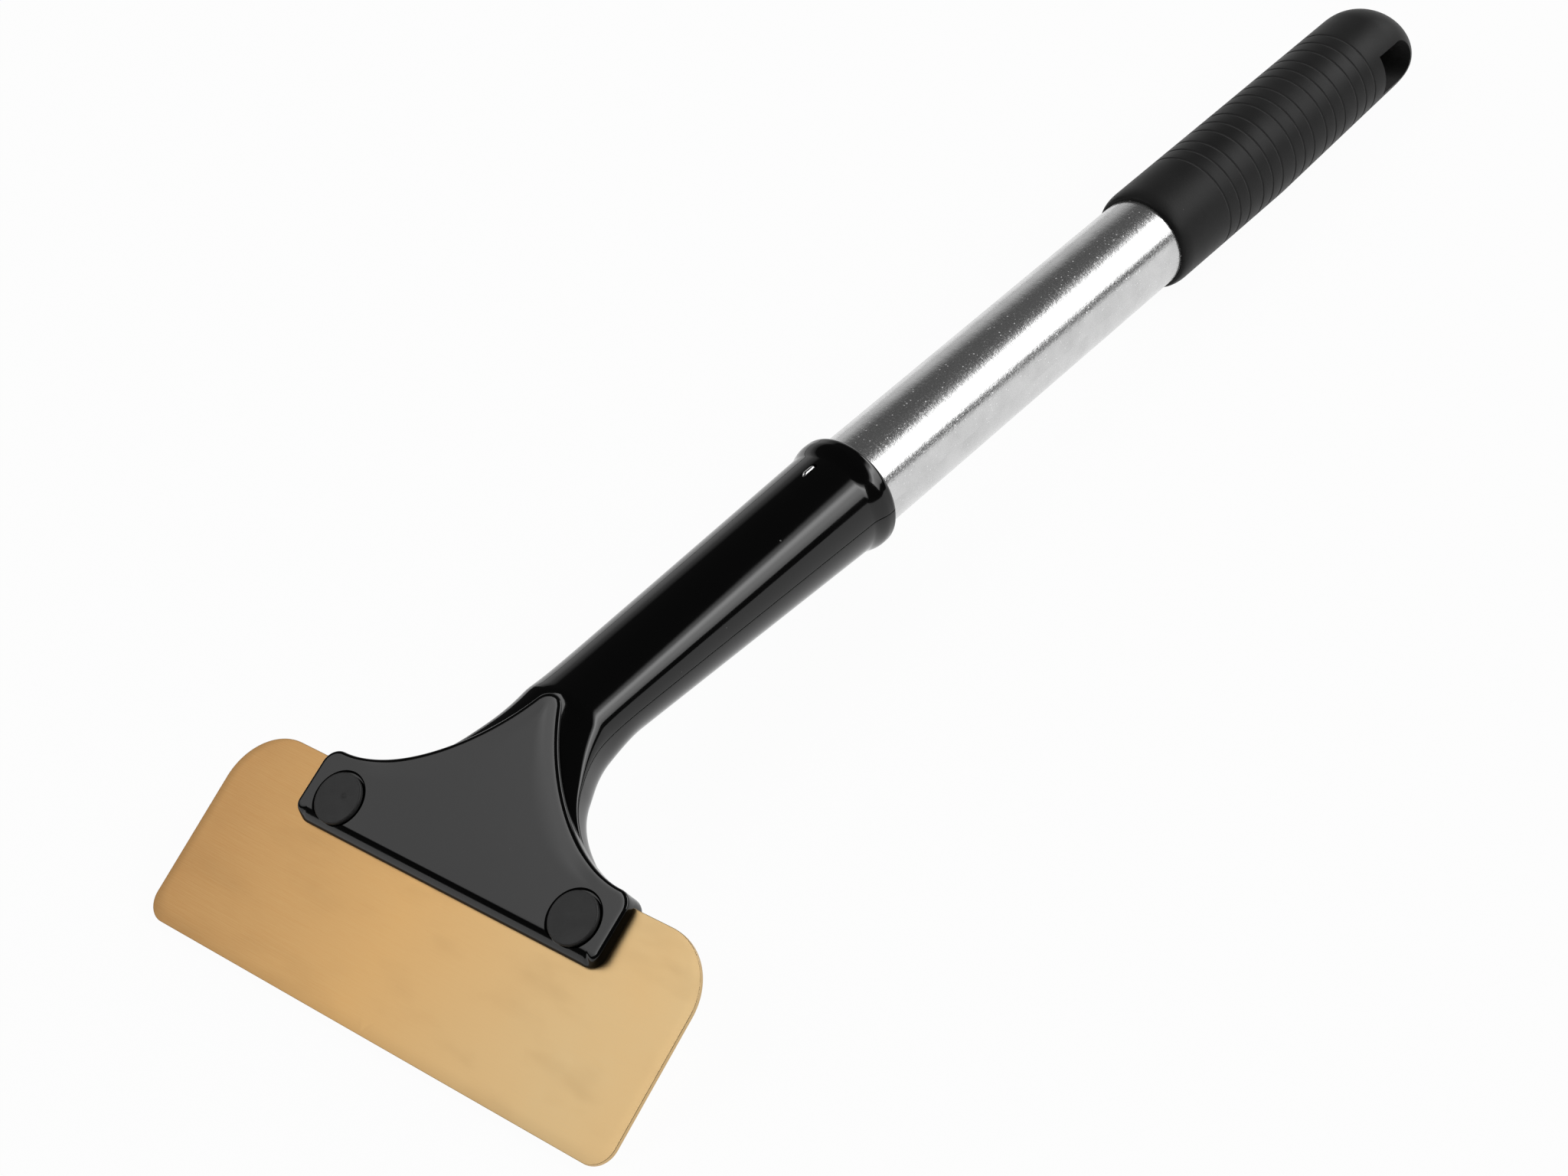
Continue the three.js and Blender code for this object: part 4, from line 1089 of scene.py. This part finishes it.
# Soft lamps: degrees round from +x and up, metres away, width, height, and how bright the face is at parts of
# the way from its lower edge to its upper one
LAMPS = {
    "lamp_right": (50, 31.5, 2.7, 3.7, 1.8, ((0, 2.2), (0.35, 3.8), (0.56, 6.0), (0.73, 1.8), (0.9, 0))),
    "lamp_left": (220, 46, 2.2, 1.7, 1.6, ((0, 0.7), (0.5, 1.35), (1, 3.4))),
    "lamp_back": (126, 17, 2.6, 4, 1.4, ((0, 0.65), (0.4, 0.6), (0.75, 0.32), (1, 0.1))),
}


def floor():
    """A wide flat pale floor. What looks straight at it sees mostly white, less the object's soft shadow."""
    span = np.linspace(-FLOOR_REACH, FLOOR_REACH, 3)
    x, y = np.meshgrid(span, span)
    mesh = bpy.data.meshes.new("floor")
    points = MM * stack(x, y, -FLOOR_DROP).reshape(-1, 3)
    mesh.from_pydata(points, [], grid_faces(np.arange(x.size).reshape(x.shape)))
    thing = new_object("floor", mesh)
    finish, tree = blank_finish("floor_white")
    path = tree.nodes.new("ShaderNodeLightPath").outputs
    seen = sums(tree, "MAXIMUM", path["Is Camera Ray"], path["Is Glossy Ray"])
    seen = sums(tree, "MAXIMUM", seen, path["Is Transmission Ray"])
    matt = add(tree, "ShaderNodeBsdfDiffuse", {"Color": grey(FLOOR_GREY)}).outputs[0]
    white = add(tree, "ShaderNodeEmission", {"Color": grey(1.0), "Strength": 1.0}).outputs[0]
    part = scaled(tree, seen, FLOOR_WHITE_SHARE)
    both = add(tree, "ShaderNodeMixShader", {0: part, 1: matt, 2: white}).outputs[0]
    add(tree, "ShaderNodeOutputMaterial", {"Surface": both})
    mesh.materials.append(finish)


def softbox(name, around, up, away, width, height, stops):
    """A flat lamp that looks at the tool, as bright at each height of its face as the stops say."""
    lamp = bpy.data.lights.new(name, "AREA")
    lamp.shape, lamp.size, lamp.size_y = "RECTANGLE", width, height
    peak = max(bright for _, bright in stops)
    lamp.energy = peak * np.pi * width * height
    lamp.use_nodes = True
    tree = lamp.node_tree
    upwards = split(tree, tree.nodes.new("ShaderNodeNewGeometry").outputs["Parametric"])[1]
    ramp = add(tree, "ShaderNodeValToRGB", {0: upwards})
    colours = ramp.color_ramp
    colours.interpolation = "EASE"
    for _ in stops[2:]:
        colours.elements.new(1)
    for element, (part, bright) in zip(colours.elements, stops):
        element.position, element.color = part, grey(bright / peak)
    tree.links.new(ramp.outputs[0], tree.nodes["Emission"].inputs["Color"])
    around, up = np.radians(around), np.radians(up)
    spot = away * np.array((np.cos(up) * np.cos(around), np.cos(up) * np.sin(around), np.sin(up)))
    thing = new_object(name, lamp)
    thing.location = spot
    thing.rotation_euler = Vector(-spot).to_track_quat("-Z", "Y").to_euler()


def studio():
    """A large lamp at the right, one at the left that the flat plate mirrors, a low pale one behind, and a
    dim room."""
    floor()
    for name, settings in LAMPS.items():
        softbox(name, *settings)
    world = bpy.data.worlds.new("room")
    bpy.context.scene.world = world
    world.use_nodes = True
    world.node_tree.nodes["Background"].inputs["Color"].default_value = grey(ROOM_GREY)


def camera():
    """Stands where the photograph was taken from, with its lens."""
    turn = Vector(CAMERA_TURN)
    rows = np.array(Matrix.Rotation(turn.length, 3, turn.normalized())) @ AXES
    eye = bpy.data.cameras.new("camera")
    eye.sensor_fit, eye.sensor_width, eye.lens = "HORIZONTAL", CAMERA_SENSOR, CAMERA_LENS
    eye.clip_start, eye.clip_end = CAMERA_RANGE
    matrix = np.eye(4)
    matrix[:3, :3] = np.stack((rows[0], -rows[1], -rows[2]), 1)
    matrix[:3, 3] = place(CAMERA_PLACE)
    thing = new_object("camera", eye)
    thing.matrix_world = Matrix(matrix.tolist())
    bpy.context.scene.camera = thing


# Assembly

camera()
studio()
bpy.context.scene.view_settings.view_transform = "Standard"

black, steel = head_finish(), fastener_finish()
matt_cap = cap_finish()

finish_piece(blade(), "scraper_blade", brass_finish())

plate = carve(front_plate(), [screw_room(-SCREW_X), screw_room(SCREW_X)])
neck_front = carve(neck_half("neck_front", True), [staple_room()])
finish_piece(join("front_shell", [plate, neck_front]), "head_front_shell", black)

jaw = carve(rear_jaw(), [room for x in (-SCREW_X, SCREW_X) for room in (nut_room(x), screw_room(x))])
rear_shell = join("rear_shell", [jaw, neck_half("neck_rear", False)])
finish_piece(rear_shell, "head_rear_shell", black)

finish_piece(cap("cap_left", -SCREW_X, 1), "screw_cap_left", matt_cap)
finish_piece(cap("cap_right", SCREW_X, 0), "screw_cap_right", matt_cap)
finish_piece(tube(), "handle_tube", tube_finish())
finish_piece(staple(), "tube_staple", steel)
finish_piece(carve(grip(), [hang_room()]), "grip_sleeve", rubber_finish())

# The screws and nuts are shown as the CAD has them
for name in ("clamp_screw_left", "clamp_screw_right", "clamp_nut_left", "clamp_nut_right"):
    node_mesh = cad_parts[name].data
    node_mesh.materials.clear()
    node_mesh.materials.append(steel)
